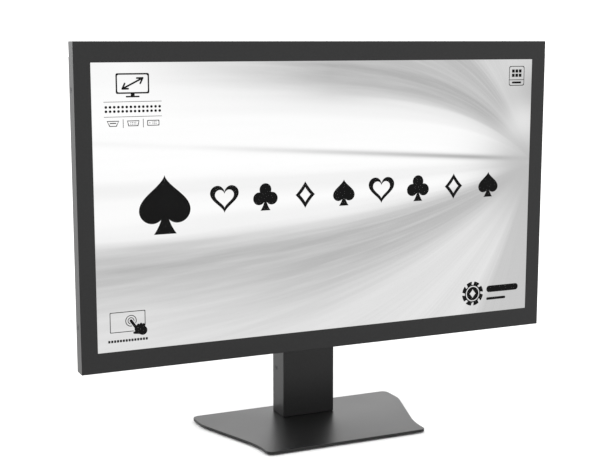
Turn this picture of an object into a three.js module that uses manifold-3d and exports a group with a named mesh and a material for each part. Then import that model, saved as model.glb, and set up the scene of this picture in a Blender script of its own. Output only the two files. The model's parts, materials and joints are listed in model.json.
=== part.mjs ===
// A 23-inch desktop touch-screen monitor. A folded-steel display head tilts on a rectangular
// column, and the column stands on a wave-sided steel base plate.
//
// Millimetres, +Z up. X runs from left to right as the user sees it and Y runs to the rear.
// The origin is on the table, under the centre of the base plate.
// Inside the head group Y is the depth behind the frame's front face, and X and Z are counted
// from the centre of the screen.

import * as THREE from 'three';
import { mergeVertices } from 'three/addons/utils/BufferGeometryUtils.js';
import Module from 'manifold-3d';

const wasm = await Module();
wasm.setup();

// ---------------------------------------------------------------- driving dimensions

const GAP = 0.3; // clearance between neighbouring pieces
const FINE_SIDES = 20; // facets round a foot or washer
const ROUND_SIDES = 14; // facets round a pin, bore or button
const SCREW_SIDES = 12; // facets round a screw or a small can
const SMALL_SIDES = 8; // facets round a board post

// The frame's window shows a 23-inch picture in the 16:9 shape.
const WINDOW = { width: 509.2, height: 286.4 };
const BEZEL = { side: 16.9, top: 20.4 };
const FRAME = {
  width: WINDOW.width + 2 * BEZEL.side,
  height: WINDOW.height + 2 * BEZEL.top,
  depth: 16.8,
  sheet: 1.2,
};
const FRAME_FRONT_Y = -22.55;
const SCREEN_Z = 256.9;

// Flat layers behind the frame's lip, front to back, as [name, thickness].
const LAYER_THICKNESSES = [
  ['bezelGasket', 0.4],
  ['glass', 2],
  ['bondingGasket', 0.4],
  ['cell', 1.4],
  ['diffuser', 0.8],
  ['lightGuide', 3],
  ['reflector', 0.3],
  ['tray', 0.8],
];
const GLASS = { width: 534, height: 316 };
const PANEL = { width: 533, height: 312 };
const CELL = { width: 519, height: 296 };
const LIGHT_GUIDE = { width: 512, height: 288, z: 2.5 };
const LED_STRIP = { width: 508, height: 3, z: -145.2 };

// The rear chassis is a shallow pan that slides into the frame from behind.
const CHASSIS = {
  width: FRAME.width - 2 * (FRAME.sheet + GAP),
  height: FRAME.height - 2 * (FRAME.sheet + GAP),
  sheet: 1.2,
  front: 6.4,
  back: 16.6,
};

// The electronics cover is a box with an outward flange, screwed to the chassis.
const COVER = {
  width: 440,
  height: 220,
  sheet: 1,
  front: CHASSIS.back + GAP,
  back: 40,
  flange: 8,
};

// Circuit boards behind the chassis: centre, size, and the depth of their front faces.
const BOARD = { front: 24, thickness: 1.6, holeInset: 4, holeRadius: 1.6 };
const BOARDS = {
  main: { x: 131, z: -77, width: 162, height: 58 },
  driver: { x: -170, z: -10, width: 60, height: 40 },
  touch: { x: -90, z: -88, width: 60, height: 24 },
};

// Push buttons in the rear wall of the cover, one above the other.
const BUTTON = {
  names: ['power', 'menu', 'plus', 'minus', 'source'],
  x: 200,
  topZ: 42,
  pitch: 16,
  radius: 4,
  collarRadius: 5.2,
  proud: 1.8,
  travel: 0.8,
};
const KEY_BOARD = { front: 32, width: 18, height: 84, z: 10, holeSpacing: 76 };
const KEY_SWITCH = { side: 6, height: 1.2 };

// Mounting pattern on the back of the cover, 100 by 100 mm with M4 screws.
const MOUNT = { pitch: 100, holeRadius: 2.25, bossRadius: 4.5, bossFront: 33 };

// The column and base.
const BASE = {
  halfDepth: 74.05,
  rearHalfWidth: 123.5,
  frontHalfWidth: 93.2,
  thickness: 3,
  rearCorner: 9,
  frontCorner: 7,
};
const FOOT = { radius: 9, height: 1.2, frontX: 76, rearX: 104, y: 60 };
const BASE_BOTTOM = FOOT.height + GAP;
const BASE_TOP = BASE_BOTTOM + BASE.thickness;
const COLUMN = { width: 62, depth: 31, y: 42.8, top: 274.5, sheet: 1.5, corner: 1.6 };
const COLUMN_CAP = { lid: 2, plug: 4, plugMiddle: -1 };
const CORE = {
  width: COLUMN.width - 2 * (COLUMN.sheet + GAP),
  depth: COLUMN.depth - 2 * (COLUMN.sheet + GAP),
  sheet: 2.5,
  foot: 4,
  top: COLUMN.top - 4,
};
const BASE_SCREW = {
  x: 18,
  headRadius: 4.8,
  headHeight: 2.5,
  shankRadius: 2.5,
  length: 9,
  coned: true,
};
const SLEEVE_SCREW = { y: COLUMN.y + 4.6, z: BASE_TOP + 52.4 };

// The tilt hinge: a bolt across the column, held by two ears on the mounting plate.
const TILT = {
  depth: COLUMN.y - FRAME_FRONT_Y,
  boltRadius: 4,
  holeRadius: 4.4,
  washer: 1.5,
  washerRadius: 10,
  earSheet: 2.5,
  earRadius: 12,
  earRoot: 20,
  plateSide: 120,
  plateCorner: 6,
  plateThickness: 2,
  hexRadius: 7.5,
  headHeight: 5.3,
  nutHeight: 6.5,
  threadProud: 1.5,
};

// Small machine screws, all with a cross recess.
const SIDE_SCREW = { headRadius: 2.5, headHeight: 0.9, shankRadius: 1.25, length: 4.3 };
const COVER_SCREW = { headRadius: 2.8, headHeight: 1.8, shankRadius: 1.4, length: 6 };
const MOUNT_SCREW = { headRadius: 3.9, headHeight: 2.4, shankRadius: 1.9, length: 11 };
const SIDE_SCREW_PLACE = { depth: 10, z: 116.5 };
const COVER_SCREW_PLACE = { x: 180, z: COVER.height / 2 + COVER.flange / 2 };

// ---------------------------------------------------------------- materials

function finish(color, roughness, metalness = 0) {
  return new THREE.MeshStandardMaterial({ color, roughness, metalness });
}

const blackPaint = finish(0x26262a, 0.42, 0.1);
const zincSteel = finish(0xb9bcc0, 0.35, 0.9);
const blackScrew = finish(0x17171a, 0.35, 0.6);
const blackFoam = finish(0x111113, 0.95);
const clearGlass = finish(0xdfe8ea, 0.05);
const darkCell = finish(0x101216, 0.1);
const blackPlastic = finish(0x1b1b1e, 0.5);
const whitePlastic = finish(0xe8e8e4, 0.6);
const clearAcrylic = finish(0xeef4f6, 0.1);
const boardGreen = finish(0x1f5a3a, 0.5);
const cableWhite = finish(0xd8d8d0, 0.5);
const cableAmber = finish(0xa8682a, 0.4);
const footRubber = finish(0x141414, 0.9);
const brassTurned = finish(0xb5965a, 0.35, 0.9);

// ---------------------------------------------------------------- solids

// A closed geometry as a solid that can be joined and cut.
function solid(geometry) {
  const bare = geometry.clone();
  bare.deleteAttribute('normal');
  bare.deleteAttribute('uv');
  const merged = mergeVertices(bare, 1e-4);
  const corners = merged.index.array;
  const triangles = [];
  for (let i = 0; i < corners.length; i += 3) {
    const [a, b, c] = corners.slice(i, i + 3);
    if (a !== b && b !== c && c !== a) triangles.push(a, b, c);
  }
  const vertProperties = Float32Array.from(merged.attributes.position.array);
  const triVerts = Uint32Array.from(triangles);
  return new wasm.Manifold(new wasm.Mesh({ numProp: 3, vertProperties, triVerts }));
}

// A solid as a geometry for a mesh.
function surface(body) {
  const { vertProperties, triVerts } = body.getMesh();
  const geometry = new THREE.BufferGeometry();
  geometry.setAttribute('position', new THREE.BufferAttribute(vertProperties, 3));
  geometry.setIndex(new THREE.BufferAttribute(triVerts, 1));
  geometry.computeVertexNormals();
  return geometry;
}

function joined(first, ...others) {
  return others.reduce((body, other) => body.add(other), first);
}

function cut(first, ...tools) {
  return tools.reduce((body, tool) => body.subtract(tool), first);
}

// A block between two depths, centred on x and z.
function slab({ width, height, front, back, x = 0, z = 0 }) {
  const box = new THREE.BoxGeometry(width, back - front, height);
  box.translate(x, (front + back) / 2, z);
  return solid(box);
}

// A slab with a rectangular opening right through it.
function ring(outer, opening) {
  const margin = 1;
  const hole = { ...opening, front: outer.front - margin, back: outer.back + margin };
  return cut(slab(outer), slab(hole));
}

// A cylinder along one axis. at holds its two other coordinates, in X, Y, Z order.
function rod({ axis, from, to, at, radius, sides = ROUND_SIDES }) {
  const cylinder = new THREE.CylinderGeometry(radius, radius, to - from, sides);
  const middle = (from + to) / 2;
  if (axis === 'x') {
    cylinder.rotateZ(-Math.PI / 2);
    cylinder.translate(middle, at[0], at[1]);
  } else if (axis === 'y') {
    cylinder.translate(at[0], middle, at[1]);
  } else {
    cylinder.rotateX(Math.PI / 2);
    cylinder.translate(at[0], at[1], middle);
  }
  return solid(cylinder);
}

// A profile of [radius, height] pairs turned round the Z axis. It starts and ends on the axis.
function turned(profile, sides = ROUND_SIDES) {
  const points = profile.map(([radius, height]) => new THREE.Vector2(radius, height));
  const lathe = new THREE.LatheGeometry(points, sides);
  lathe.rotateX(Math.PI / 2);
  return solid(lathe);
}

// A flat outline in X and Y, raised along Z.
function raised(shape, from, to, curveSegments = 8) {
  const options = { depth: to - from, bevelEnabled: false, curveSegments };
  const extrusion = new THREE.ExtrudeGeometry(shape, options);
  extrusion.translate(0, 0, from);
  return solid(extrusion);
}

// A flat outline in Y and Z, raised along X.
function raisedAcross(shape, from, to, curveSegments = 8) {
  const options = { depth: to - from, bevelEnabled: false, curveSegments };
  const extrusion = new THREE.ExtrudeGeometry(shape, options);
  extrusion.rotateY(Math.PI / 2);
  extrusion.rotateX(Math.PI / 2);
  extrusion.translate(from, 0, 0);
  return solid(extrusion);
}

function roundedRectangle(width, height, radius) {
  const x = width / 2;
  const y = height / 2;
  const shape = new THREE.Shape();
  shape.moveTo(-x + radius, -y);
  shape.lineTo(x - radius, -y);
  shape.absarc(x - radius, -y + radius, radius, -Math.PI / 2, 0);
  shape.lineTo(x, y - radius);
  shape.absarc(x - radius, y - radius, radius, 0, Math.PI / 2);
  shape.lineTo(-x + radius, y);
  shape.absarc(-x + radius, y - radius, radius, Math.PI / 2, Math.PI);
  shape.lineTo(-x, -y + radius);
  shape.absarc(-x + radius, -y + radius, radius, Math.PI, 1.5 * Math.PI);
  return shape;
}

// ---------------------------------------------------------------- the scene graph

const monitor = new THREE.Group();
const stand = new THREE.Group();
const head = new THREE.Group();
head.position.set(0, FRAME_FRONT_Y, SCREEN_Z);
monitor.add(stand, head);

function add(group, name, body, material, position = [0, 0, 0], rotation = [0, 0, 0]) {
  const mesh = new THREE.Mesh(surface(body), material);
  mesh.name = name;
  mesh.position.set(...position);
  mesh.rotation.set(...rotation);
  group.add(mesh);
}

// Turns that point a screw's head along the named direction.
const HEAD_TO_REAR = [-Math.PI / 2, 0, 0];
const HEAD_DOWN = [Math.PI, 0, 0];
const headToSide = (side) => [0, (side * Math.PI) / 2, 0];

// A machine screw with its head's top at the origin and its shank along -Z.
function screw({ headRadius, headHeight, shankRadius, length, coned = false }) {
  const shank = [[0, -length], [shankRadius, -length], [shankRadius, -headHeight]];
  const flatHead = coned ? [] : [[headRadius, -headHeight]];
  const body = turned([...shank, ...flatHead, [headRadius, 0], [0, 0]], SCREW_SIDES);
  const recessDepth = headHeight * 0.7;
  const long = headRadius * 1.1;
  const narrow = headRadius * 0.28;
  const blade = new THREE.BoxGeometry(long, narrow, 2 * recessDepth);
  const otherBlade = new THREE.BoxGeometry(narrow, long, 2 * recessDepth);
  return cut(body, solid(blade), solid(otherBlade));
}

// ---------------------------------------------------------------- display head: front stack

// Depths of the flat layers: each starts one gap behind the one in front of it.
function stackLayers() {
  const layers = {};
  let front = FRAME.sheet + GAP;
  for (const [name, thickness] of LAYER_THICKNESSES) {
    layers[name] = { front, back: front + thickness };
    front += thickness + GAP;
  }
  return layers;
}

const LAYERS = stackLayers();

function addFrontFrame() {
  const outer = { width: FRAME.width, height: FRAME.height, front: 0, back: FRAME.depth };
  const inside = {
    width: FRAME.width - 2 * FRAME.sheet,
    height: FRAME.height - 2 * FRAME.sheet,
    front: FRAME.sheet,
    back: FRAME.depth + 1,
  };
  const window = { ...WINDOW, front: -1, back: FRAME.depth };
  let frame = cut(slab(outer), slab(inside), slab(window));
  for (const z of [-SIDE_SCREW_PLACE.z, SIDE_SCREW_PLACE.z]) {
    const hole = {
      axis: 'x',
      from: -FRAME.width,
      to: FRAME.width,
      at: [SIDE_SCREW_PLACE.depth, z],
      radius: SIDE_SCREW.headRadius + GAP,
    };
    frame = cut(frame, rod(hole));
  }
  add(head, 'front_frame', frame, blackPaint);
}

function addTouchGlass() {
  const tapeOpening = { width: WINDOW.width + 4, height: WINDOW.height + 4 };
  const tape = { width: GLASS.width, height: GLASS.height, ...LAYERS.bezelGasket };
  add(head, 'bezel_gasket', ring(tape, tapeOpening), blackFoam);
  add(head, 'touch_glass', slab({ ...GLASS, ...LAYERS.glass }), clearGlass);
  const bondOpening = { width: CELL.width - 4, height: CELL.height - 5 };
  const bond = { width: PANEL.width - 2, height: PANEL.height - 2, ...LAYERS.bondingGasket };
  add(head, 'bonding_gasket', ring(bond, bondOpening), blackFoam);
}

function addDisplayPanel() {
  add(head, 'lcd_cell', slab({ ...CELL, ...LAYERS.cell }), darkCell);
  const frame = { ...PANEL, front: LAYERS.cell.front, back: LAYERS.reflector.back };
  const nest = { width: CELL.width + 2 * GAP, height: CELL.height + 2 * GAP };
  add(head, 'panel_frame', ring(frame, nest), blackPlastic);
  add(head, 'diffuser_sheets', slab({ ...CELL, ...LAYERS.diffuser }), whitePlastic);
  add(head, 'light_guide', slab({ ...LIGHT_GUIDE, ...LAYERS.lightGuide }), clearAcrylic);
  add(head, 'led_strip', slab({ ...LED_STRIP, ...LAYERS.lightGuide }), whitePlastic);
  add(head, 'reflector_sheet', slab({ ...CELL, ...LAYERS.reflector }), whitePlastic);
  add(head, 'backlight_tray', slab({ ...PANEL, ...LAYERS.tray }), zincSteel);
}

// ---------------------------------------------------------------- display head: rear housing

// The four corners of a rectangle, as [x, z] pairs.
function fourCorners(halfWidth, halfHeight, x = 0, z = 0) {
  const corners = [];
  for (const sx of [-1, 1]) {
    for (const sz of [-1, 1]) corners.push([x + sx * halfWidth, z + sz * halfHeight]);
  }
  return corners;
}

const coverScrewPlaces = () => fourCorners(COVER_SCREW_PLACE.x, COVER_SCREW_PLACE.z);
const mountPlaces = () => fourCorners(MOUNT.pitch / 2, MOUNT.pitch / 2);
const buttonPlaces = () => BUTTON.names.map((_, i) => [BUTTON.x, BUTTON.topZ - i * BUTTON.pitch]);

function boardCorners({ width, height, x, z }) {
  const { holeInset } = BOARD;
  return fourCorners(width / 2 - holeInset, height / 2 - holeInset, x, z);
}

// A post on the chassis that carries a board's corner, with a pin through the board's hole.
function boardPost(at, boardFront) {
  const root = CHASSIS.back - CHASSIS.sheet / 2;
  const pinLength = BOARD.thickness + 1.4;
  const span = { axis: 'y', from: root, at, sides: SMALL_SIDES };
  const shoulder = rod({ ...span, to: boardFront - GAP, radius: 3 });
  const pin = rod({ ...span, to: boardFront + pinLength, radius: 1.2 });
  return joined(shoulder, pin);
}

const KEY_BOARD_HOLES = [-1, 1].map((side) => (
  [BUTTON.x, KEY_BOARD.z + (side * KEY_BOARD.holeSpacing) / 2]
));
const PANEL_CABLE = { x: 75, width: 24, thickness: 0.5 };
const TOUCH_CABLE = { x: -90, width: 16, thickness: 0.4 };
const PANEL_CABLE_WINDOW = { x: PANEL_CABLE.x, z: -55, width: 32, height: 24 };
const TOUCH_CABLE_WINDOW = { x: TOUCH_CABLE.x, z: -91, width: 24, height: 16 };

function addRearChassis() {
  const pan = { width: CHASSIS.width, height: CHASSIS.height, front: CHASSIS.front, back: CHASSIS.back };
  const inside = {
    width: CHASSIS.width - 2 * CHASSIS.sheet,
    height: CHASSIS.height - 2 * CHASSIS.sheet,
    front: CHASSIS.front - 1,
    back: CHASSIS.back - CHASSIS.sheet,
  };
  let chassis = cut(slab(pan), slab(inside));
  for (const board of Object.values(BOARDS)) {
    chassis = joined(chassis, ...boardCorners(board).map((at) => boardPost(at, BOARD.front)));
  }
  chassis = joined(chassis, ...KEY_BOARD_HOLES.map((at) => boardPost(at, KEY_BOARD.front)));
  for (const opening of [PANEL_CABLE_WINDOW, TOUCH_CABLE_WINDOW]) {
    chassis = cut(chassis, slab({ ...opening, front: CHASSIS.back - 3, back: CHASSIS.back + 1 }));
  }
  for (const z of [-SIDE_SCREW_PLACE.z, SIDE_SCREW_PLACE.z]) {
    const at = [SIDE_SCREW_PLACE.depth, z];
    const radius = SIDE_SCREW.shankRadius + GAP;
    chassis = cut(chassis, rod({ axis: 'x', from: -FRAME.width, to: FRAME.width, at, radius }));
  }
  for (const at of coverScrewPlaces()) {
    const radius = COVER_SCREW.shankRadius + GAP;
    const hole = { axis: 'y', from: CHASSIS.back - 4, to: CHASSIS.back + 1, at, radius };
    chassis = cut(chassis, rod(hole));
  }
  add(head, 'rear_chassis', chassis, blackPaint);
}

// A row of upright vent slots through the cover's rear wall.
function ventSlots({ fromX, toX, z, height }) {
  const pitch = 15;
  const width = 4;
  const slots = [];
  for (let x = fromX; x <= toX; x += pitch) {
    slots.push(slab({ width, height, x, z, front: COVER.back - 3, back: COVER.back + 1 }));
  }
  return slots;
}

function addElectronicsCover() {
  const outer = { width: COVER.width, height: COVER.height, front: COVER.front, back: COVER.back };
  const flange = {
    width: COVER.width + 2 * COVER.flange,
    height: COVER.height + 2 * COVER.flange,
    front: COVER.front,
    back: COVER.front + COVER.sheet,
  };
  const inside = {
    width: COVER.width - 2 * COVER.sheet,
    height: COVER.height - 2 * COVER.sheet,
    front: COVER.front - 1,
    back: COVER.back - COVER.sheet,
  };
  let cover = cut(joined(slab(outer), slab(flange)), slab(inside));
  for (const at of mountPlaces()) {
    const to = COVER.back - COVER.sheet / 2;
    const boss = rod({ axis: 'y', from: MOUNT.bossFront, to, at, radius: MOUNT.bossRadius });
    const bore = { axis: 'y', from: 0, to: COVER.back + 1, at, radius: MOUNT.holeRadius };
    cover = cut(joined(cover, boss), rod(bore));
  }
  for (const at of coverScrewPlaces()) {
    const radius = COVER_SCREW.shankRadius + GAP;
    cover = cut(cover, rod({ axis: 'y', from: 0, to: COVER.front + 2, at, radius }));
  }
  for (const at of buttonPlaces()) {
    const radius = BUTTON.radius + GAP;
    cover = cut(cover, rod({ axis: 'y', from: COVER.back - 3, to: COVER.back + 1, at, radius }));
  }
  cover = cut(cover, ...ventSlots({ fromX: -165, toX: 165, z: 86, height: 26 }));
  cover = cut(cover, ...ventSlots({ fromX: -195, toX: -90, z: -86, height: 26 }));
  cover = cut(cover, ...SOCKETS.flatMap((socket) => socket.cutouts()));
  add(head, 'electronics_cover', cover, blackPaint);
}

function addHousingScrews() {
  const heights = { lower: -SIDE_SCREW_PLACE.z, upper: SIDE_SCREW_PLACE.z };
  for (const [side, sign] of [['left', -1], ['right', 1]]) {
    for (const [level, z] of Object.entries(heights)) {
      const position = [(sign * FRAME.width) / 2, SIDE_SCREW_PLACE.depth, z];
      const name = `frame_screw_${side}_${level}`;
      add(head, name, screw(SIDE_SCREW), blackScrew, position, headToSide(sign));
    }
  }
  coverScrewPlaces().forEach(([x, z], i) => {
    const top = COVER.front + COVER.sheet + GAP + COVER_SCREW.headHeight;
    add(head, `cover_screw_${i + 1}`, screw(COVER_SCREW), blackScrew, [x, top, z], HEAD_TO_REAR);
  });
}

// ---------------------------------------------------------------- display head: electronics

// A block that stands on the rear side of a board.
function component({ x, z, width, height, thickness }) {
  const front = BOARD.front + BOARD.thickness / 2;
  return slab({ x, z, width, height, front, back: BOARD.front + BOARD.thickness + thickness });
}

// A flat-cable connector on the front side of a board.
function cableConnector({ x, z, width }) {
  return slab({ x, z, width, height: 4, front: BOARD.front - 2.8, back: BOARD.front + 0.8 });
}

function circuitBoard(board, ...parts) {
  const back = BOARD.front + BOARD.thickness;
  const bare = slab({ ...board, front: BOARD.front, back });
  const holes = boardCorners(board).map((at) => {
    const span = { axis: 'y', from: BOARD.front - 1, to: back + 1, sides: SMALL_SIDES };
    return rod({ ...span, at, radius: BOARD.holeRadius });
  });
  return joined(cut(bare, ...holes), ...parts);
}

// A finned heat sink on the scaler chip.
function heatSink(x, z) {
  const fins = [-12, -6, 0, 6, 12].map((dx) => (
    component({ x: x + dx, z, width: 1.6, height: 28, thickness: 6 })
  ));
  return joined(component({ x, z, width: 28, height: 28, thickness: 2.4 }), ...fins);
}

function capacitor(x, z) {
  const from = BOARD.front + 0.8;
  return rod({ axis: 'y', from, to: BOARD.front + 8, at: [x, z], radius: 3, sides: SCREW_SIDES });
}

function addCircuitBoards() {
  const { main, driver, touch } = BOARDS;
  const mainParts = [
    heatSink(main.x, main.z + 8),
    component({ x: main.x + 40, z: main.z + 10, width: 14, height: 18, thickness: 1.2 }),
    component({ x: main.x - 42, z: main.z + 6, width: 10, height: 10, thickness: 4 }),
    ...[-28, -20].map((dx) => capacitor(main.x + dx, main.z + 20)),
    ...[60, 68].map((dx) => capacitor(main.x + dx, main.z + 8)),
    cableConnector({ x: PANEL_CABLE.x, z: -58, width: PANEL_CABLE.width + 4 }),
  ];
  add(head, 'main_board', circuitBoard(main, ...mainParts), boardGreen);
  const driverParts = [
    component({ x: driver.x - 10, z: driver.z, width: 12, height: 12, thickness: 6 }),
    ...[8, 16].map((dx) => capacitor(driver.x + dx, driver.z)),
  ];
  add(head, 'led_driver_board', circuitBoard(driver, ...driverParts), boardGreen);
  const touchParts = [
    component({ x: touch.x + 6, z: touch.z + 2, width: 9, height: 9, thickness: 1 }),
    cableConnector({ x: TOUCH_CABLE.x, z: -89, width: TOUCH_CABLE.width + 4 }),
  ];
  add(head, 'touch_controller_board', circuitBoard(touch, ...touchParts), boardGreen);
}

function addKeyBoard() {
  const back = KEY_BOARD.front + BOARD.thickness;
  let board = slab({ ...KEY_BOARD, x: BUTTON.x, back });
  for (const [x, z] of buttonPlaces()) {
    const side = { width: KEY_SWITCH.side, height: KEY_SWITCH.side };
    const depth = { front: KEY_BOARD.front + 0.8, back: back + KEY_SWITCH.height };
    board = joined(board, slab({ ...side, ...depth, x, z }));
  }
  for (const at of KEY_BOARD_HOLES) {
    const span = { axis: 'y', from: KEY_BOARD.front - 1, to: back + 1, sides: SMALL_SIDES };
    board = cut(board, rod({ ...span, at, radius: BOARD.holeRadius }));
  }
  add(head, 'key_board', board, boardGreen);
}

// A flat cable that follows a curve in depth and height.
function flatCable({ x, width, thickness }, curve, steps) {
  const middle = curve.getPoints(steps);
  const offset = (side) => middle.map((point, i) => {
    const along = curve.getTangent(i / steps);
    return new THREE.Vector2(-along.y, along.x).multiplyScalar((side * thickness) / 2).add(point);
  });
  const outline = new THREE.Shape([...offset(-1), ...offset(1).reverse()]);
  return raisedAcross(outline, x - width / 2, x + width / 2);
}

function addFlatCables() {
  const corridor = (LAYERS.tray.back + CHASSIS.back - CHASSIS.sheet) / 2;
  const plugDepth = BOARD.front - 2.8 - GAP;
  const down = new THREE.CubicBezierCurve(
    new THREE.Vector2(corridor, -20),
    new THREE.Vector2(corridor, -48),
    new THREE.Vector2(corridor, -58),
    new THREE.Vector2(plugDepth, -58),
  );
  add(head, 'panel_cable', flatCable(PANEL_CABLE, down, 12), cableWhite);
  const underPanel = -(PANEL.height / 2) - 2.3;
  const around = new THREE.SplineCurve([
    new THREE.Vector2(LAYERS.glass.back + 2 * GAP, underPanel + 1.4),
    new THREE.Vector2(7.4, underPanel),
    new THREE.Vector2(11.6, underPanel),
    new THREE.Vector2(corridor, underPanel + 3.6),
    new THREE.Vector2(corridor, -130),
    new THREE.Vector2(corridor, -103),
    new THREE.Vector2(16.2, -91.5),
    new THREE.Vector2(plugDepth, -89),
  ]);
  add(head, 'touch_cable', flatCable(TOUCH_CABLE, around, 28), cableAmber);
}

// ---------------------------------------------------------------- display head: sockets

// Sockets stand on the rear side of the main board and open downwards through the cover.
const SOCKET_FRONT = BOARD.front + BOARD.thickness + GAP;
const MOUTH_Z = -COVER.height / 2 - GAP;
const WALL_TOP_Z = -COVER.height / 2 + COVER.sheet;

// A block of the socket, from its front face back by thickness, between two heights.
function socketBlock({ x, width, thickness, inset = 0, low, high }) {
  const front = SOCKET_FRONT + inset;
  const size = { width, height: high - low, front, back: front + thickness };
  return slab({ ...size, x, z: (low + high) / 2 });
}

// The hole in the cover's bottom wall that a block passes through.
function wallCutout({ x, width, thickness, inset = 0 }) {
  const clear = 2 * GAP;
  const wider = { x, width: width + clear, thickness: thickness + clear, inset: inset - GAP };
  return socketBlock({ ...wider, low: MOUTH_Z - 2, high: WALL_TOP_Z + 1 });
}

// A socket with a box-shaped mouth and a contact tongue inside it.
function boxSocket({ name, x, width, thickness, wall, tongue, depth, material }) {
  const body = { x, width, thickness, low: MOUTH_Z, high: MOUTH_Z + depth };
  const mouth = {
    x,
    width: width - 2 * wall,
    thickness: thickness - 2 * wall,
    inset: wall,
    low: MOUTH_Z - 1,
    high: MOUTH_Z + depth - 1.5,
  };
  const blade = {
    x,
    width: tongue.width,
    thickness: tongue.thickness,
    inset: (thickness - tongue.thickness) / 2,
    low: MOUTH_Z + 1,
    high: MOUTH_Z + depth - 1,
  };
  return {
    name,
    material,
    cutouts: () => [wallCutout(body)],
    body: () => joined(cut(socketBlock(body), socketBlock(mouth)), socketBlock(blade)),
  };
}

// A socket with a round mouth in a square body, and a centre pin if it has one.
function roundSocket({ name, x, side, ferrule, bore, pin, depth, material }) {
  const body = { x, width: side, thickness: side, low: WALL_TOP_Z + GAP, high: MOUTH_Z + depth };
  const at = [x, SOCKET_FRONT + side / 2];
  const from = MOUTH_Z - 0.5;
  const to = MOUTH_Z + depth;
  const barrel = (radius, low, high) => rod({ axis: 'z', from: low, to: high, at, radius });
  return {
    name,
    material,
    cutouts: () => [barrel(ferrule + GAP, MOUTH_Z - 2, WALL_TOP_Z + 1)],
    body: () => {
      const shell = joined(socketBlock(body), barrel(ferrule, from, to));
      const hollow = cut(shell, barrel(bore, from - 1, to - 1.5));
      return pin ? joined(hollow, barrel(pin, from + 1, to - 1)) : hollow;
    },
  };
}

// A D-shaped plug face: the shell stands through the cover between two hexagonal jack posts.
function dSocket({ name, x, shellWidth, flangeWidth, material }) {
  const flangeThickness = 12.4;
  const shellThickness = 8;
  const slant = 1.2;
  const middle = SOCKET_FRONT + flangeThickness / 2;
  const outline = (grow) => {
    const halfWide = shellWidth / 2 + grow;
    const halfThick = shellThickness / 2 + grow;
    return new THREE.Shape([
      new THREE.Vector2(x - halfWide, middle + halfThick),
      new THREE.Vector2(x - halfWide + slant, middle - halfThick),
      new THREE.Vector2(x + halfWide - slant, middle - halfThick),
      new THREE.Vector2(x + halfWide, middle + halfThick),
    ]);
  };
  const postX = [-1, 1].map((side) => x + side * (flangeWidth / 2 - 3.2));
  const posts = (radius, sides) => postX.map((px) => (
    rod({ axis: 'z', from: MOUTH_Z - 4.5, to: WALL_TOP_Z + 1, at: [px, middle], radius, sides })
  ));
  const flange = { x, width: flangeWidth, thickness: flangeThickness };
  return {
    name,
    material,
    cutouts: () => [raised(outline(GAP), MOUTH_Z - 2, WALL_TOP_Z + 1), ...posts(3, SCREW_SIDES)],
    body: () => joined(
      raised(outline(0), MOUTH_Z - 5, WALL_TOP_Z + 1),
      socketBlock({ ...flange, low: WALL_TOP_Z + GAP, high: WALL_TOP_Z + GAP + 11 }),
      ...posts(2.6, 6),
    ),
  };
}

const SOCKETS = [
  roundSocket({
    name: 'power_socket', x: 62, side: 10, ferrule: 4, bore: 3.1, pin: 1, depth: 14,
    material: blackPlastic,
  }),
  roundSocket({
    name: 'audio_socket', x: 78, side: 8, ferrule: 3.2, bore: 1.8, pin: 0, depth: 13,
    material: blackPlastic,
  }),
  boxSocket({
    name: 'usb_socket', x: 95, width: 12, thickness: 11, wall: 1.7, depth: 16,
    tongue: { width: 5.6, thickness: 3.2 }, material: zincSteel,
  }),
  boxSocket({
    name: 'hdmi_socket', x: 117, width: 15, thickness: 6, wall: 0.7, depth: 12,
    tongue: { width: 10.5, thickness: 1.2 }, material: zincSteel,
  }),
  dSocket({ name: 'vga_socket', x: 147, shellWidth: 16.4, flangeWidth: 31, material: zincSteel }),
  dSocket({ name: 'dvi_socket', x: 188, shellWidth: 24, flangeWidth: 37, material: zincSteel }),
];

function addSockets() {
  for (const socket of SOCKETS) add(head, socket.name, socket.body(), socket.material);
}

// ---------------------------------------------------------------- display head: buttons

// A push button with its outer face at the origin, pointing along +Z, and a retaining collar
// that sits just inside the cover.
function pushButton() {
  const { radius, collarRadius, proud } = BUTTON;
  const collarTop = -proud - COVER.sheet - GAP;
  const switchTop = KEY_BOARD.front + BOARD.thickness + KEY_SWITCH.height;
  const length = COVER.back + proud - switchTop - BUTTON.travel - GAP;
  const edge = 0.5;
  return turned([
    [0, -length],
    [radius / 2, -length],
    [radius / 2, collarTop - 1],
    [collarRadius, collarTop - 1],
    [collarRadius, collarTop],
    [radius, collarTop],
    [radius, -edge],
    [radius - edge, 0],
    [0, 0],
  ]);
}

function addButtons() {
  buttonPlaces().forEach(([x, z], i) => {
    const position = [x, COVER.back + BUTTON.proud, z];
    add(head, `${BUTTON.names[i]}_button`, pushButton(), blackPlastic, position, HEAD_TO_REAR);
  });
}

// ---------------------------------------------------------------- display head: tilt bracket

const PLATE_FRONT = COVER.back + GAP;
const PLATE_BACK = PLATE_FRONT + TILT.plateThickness;
const EAR_INNER = COLUMN.width / 2 + TILT.washer + 2 * GAP;
const EAR_OUTER = EAR_INNER + TILT.earSheet;

// One ear in side view: broad at the plate and round about the hinge axis.
function earOutline() {
  const root = PLATE_BACK - TILT.plateThickness / 2;
  const shape = new THREE.Shape();
  shape.moveTo(root, -TILT.earRoot);
  shape.lineTo(TILT.depth, -TILT.earRadius);
  shape.absarc(TILT.depth, 0, TILT.earRadius, -Math.PI / 2, Math.PI / 2);
  shape.lineTo(root, TILT.earRoot);
  shape.closePath();
  return shape;
}

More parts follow.
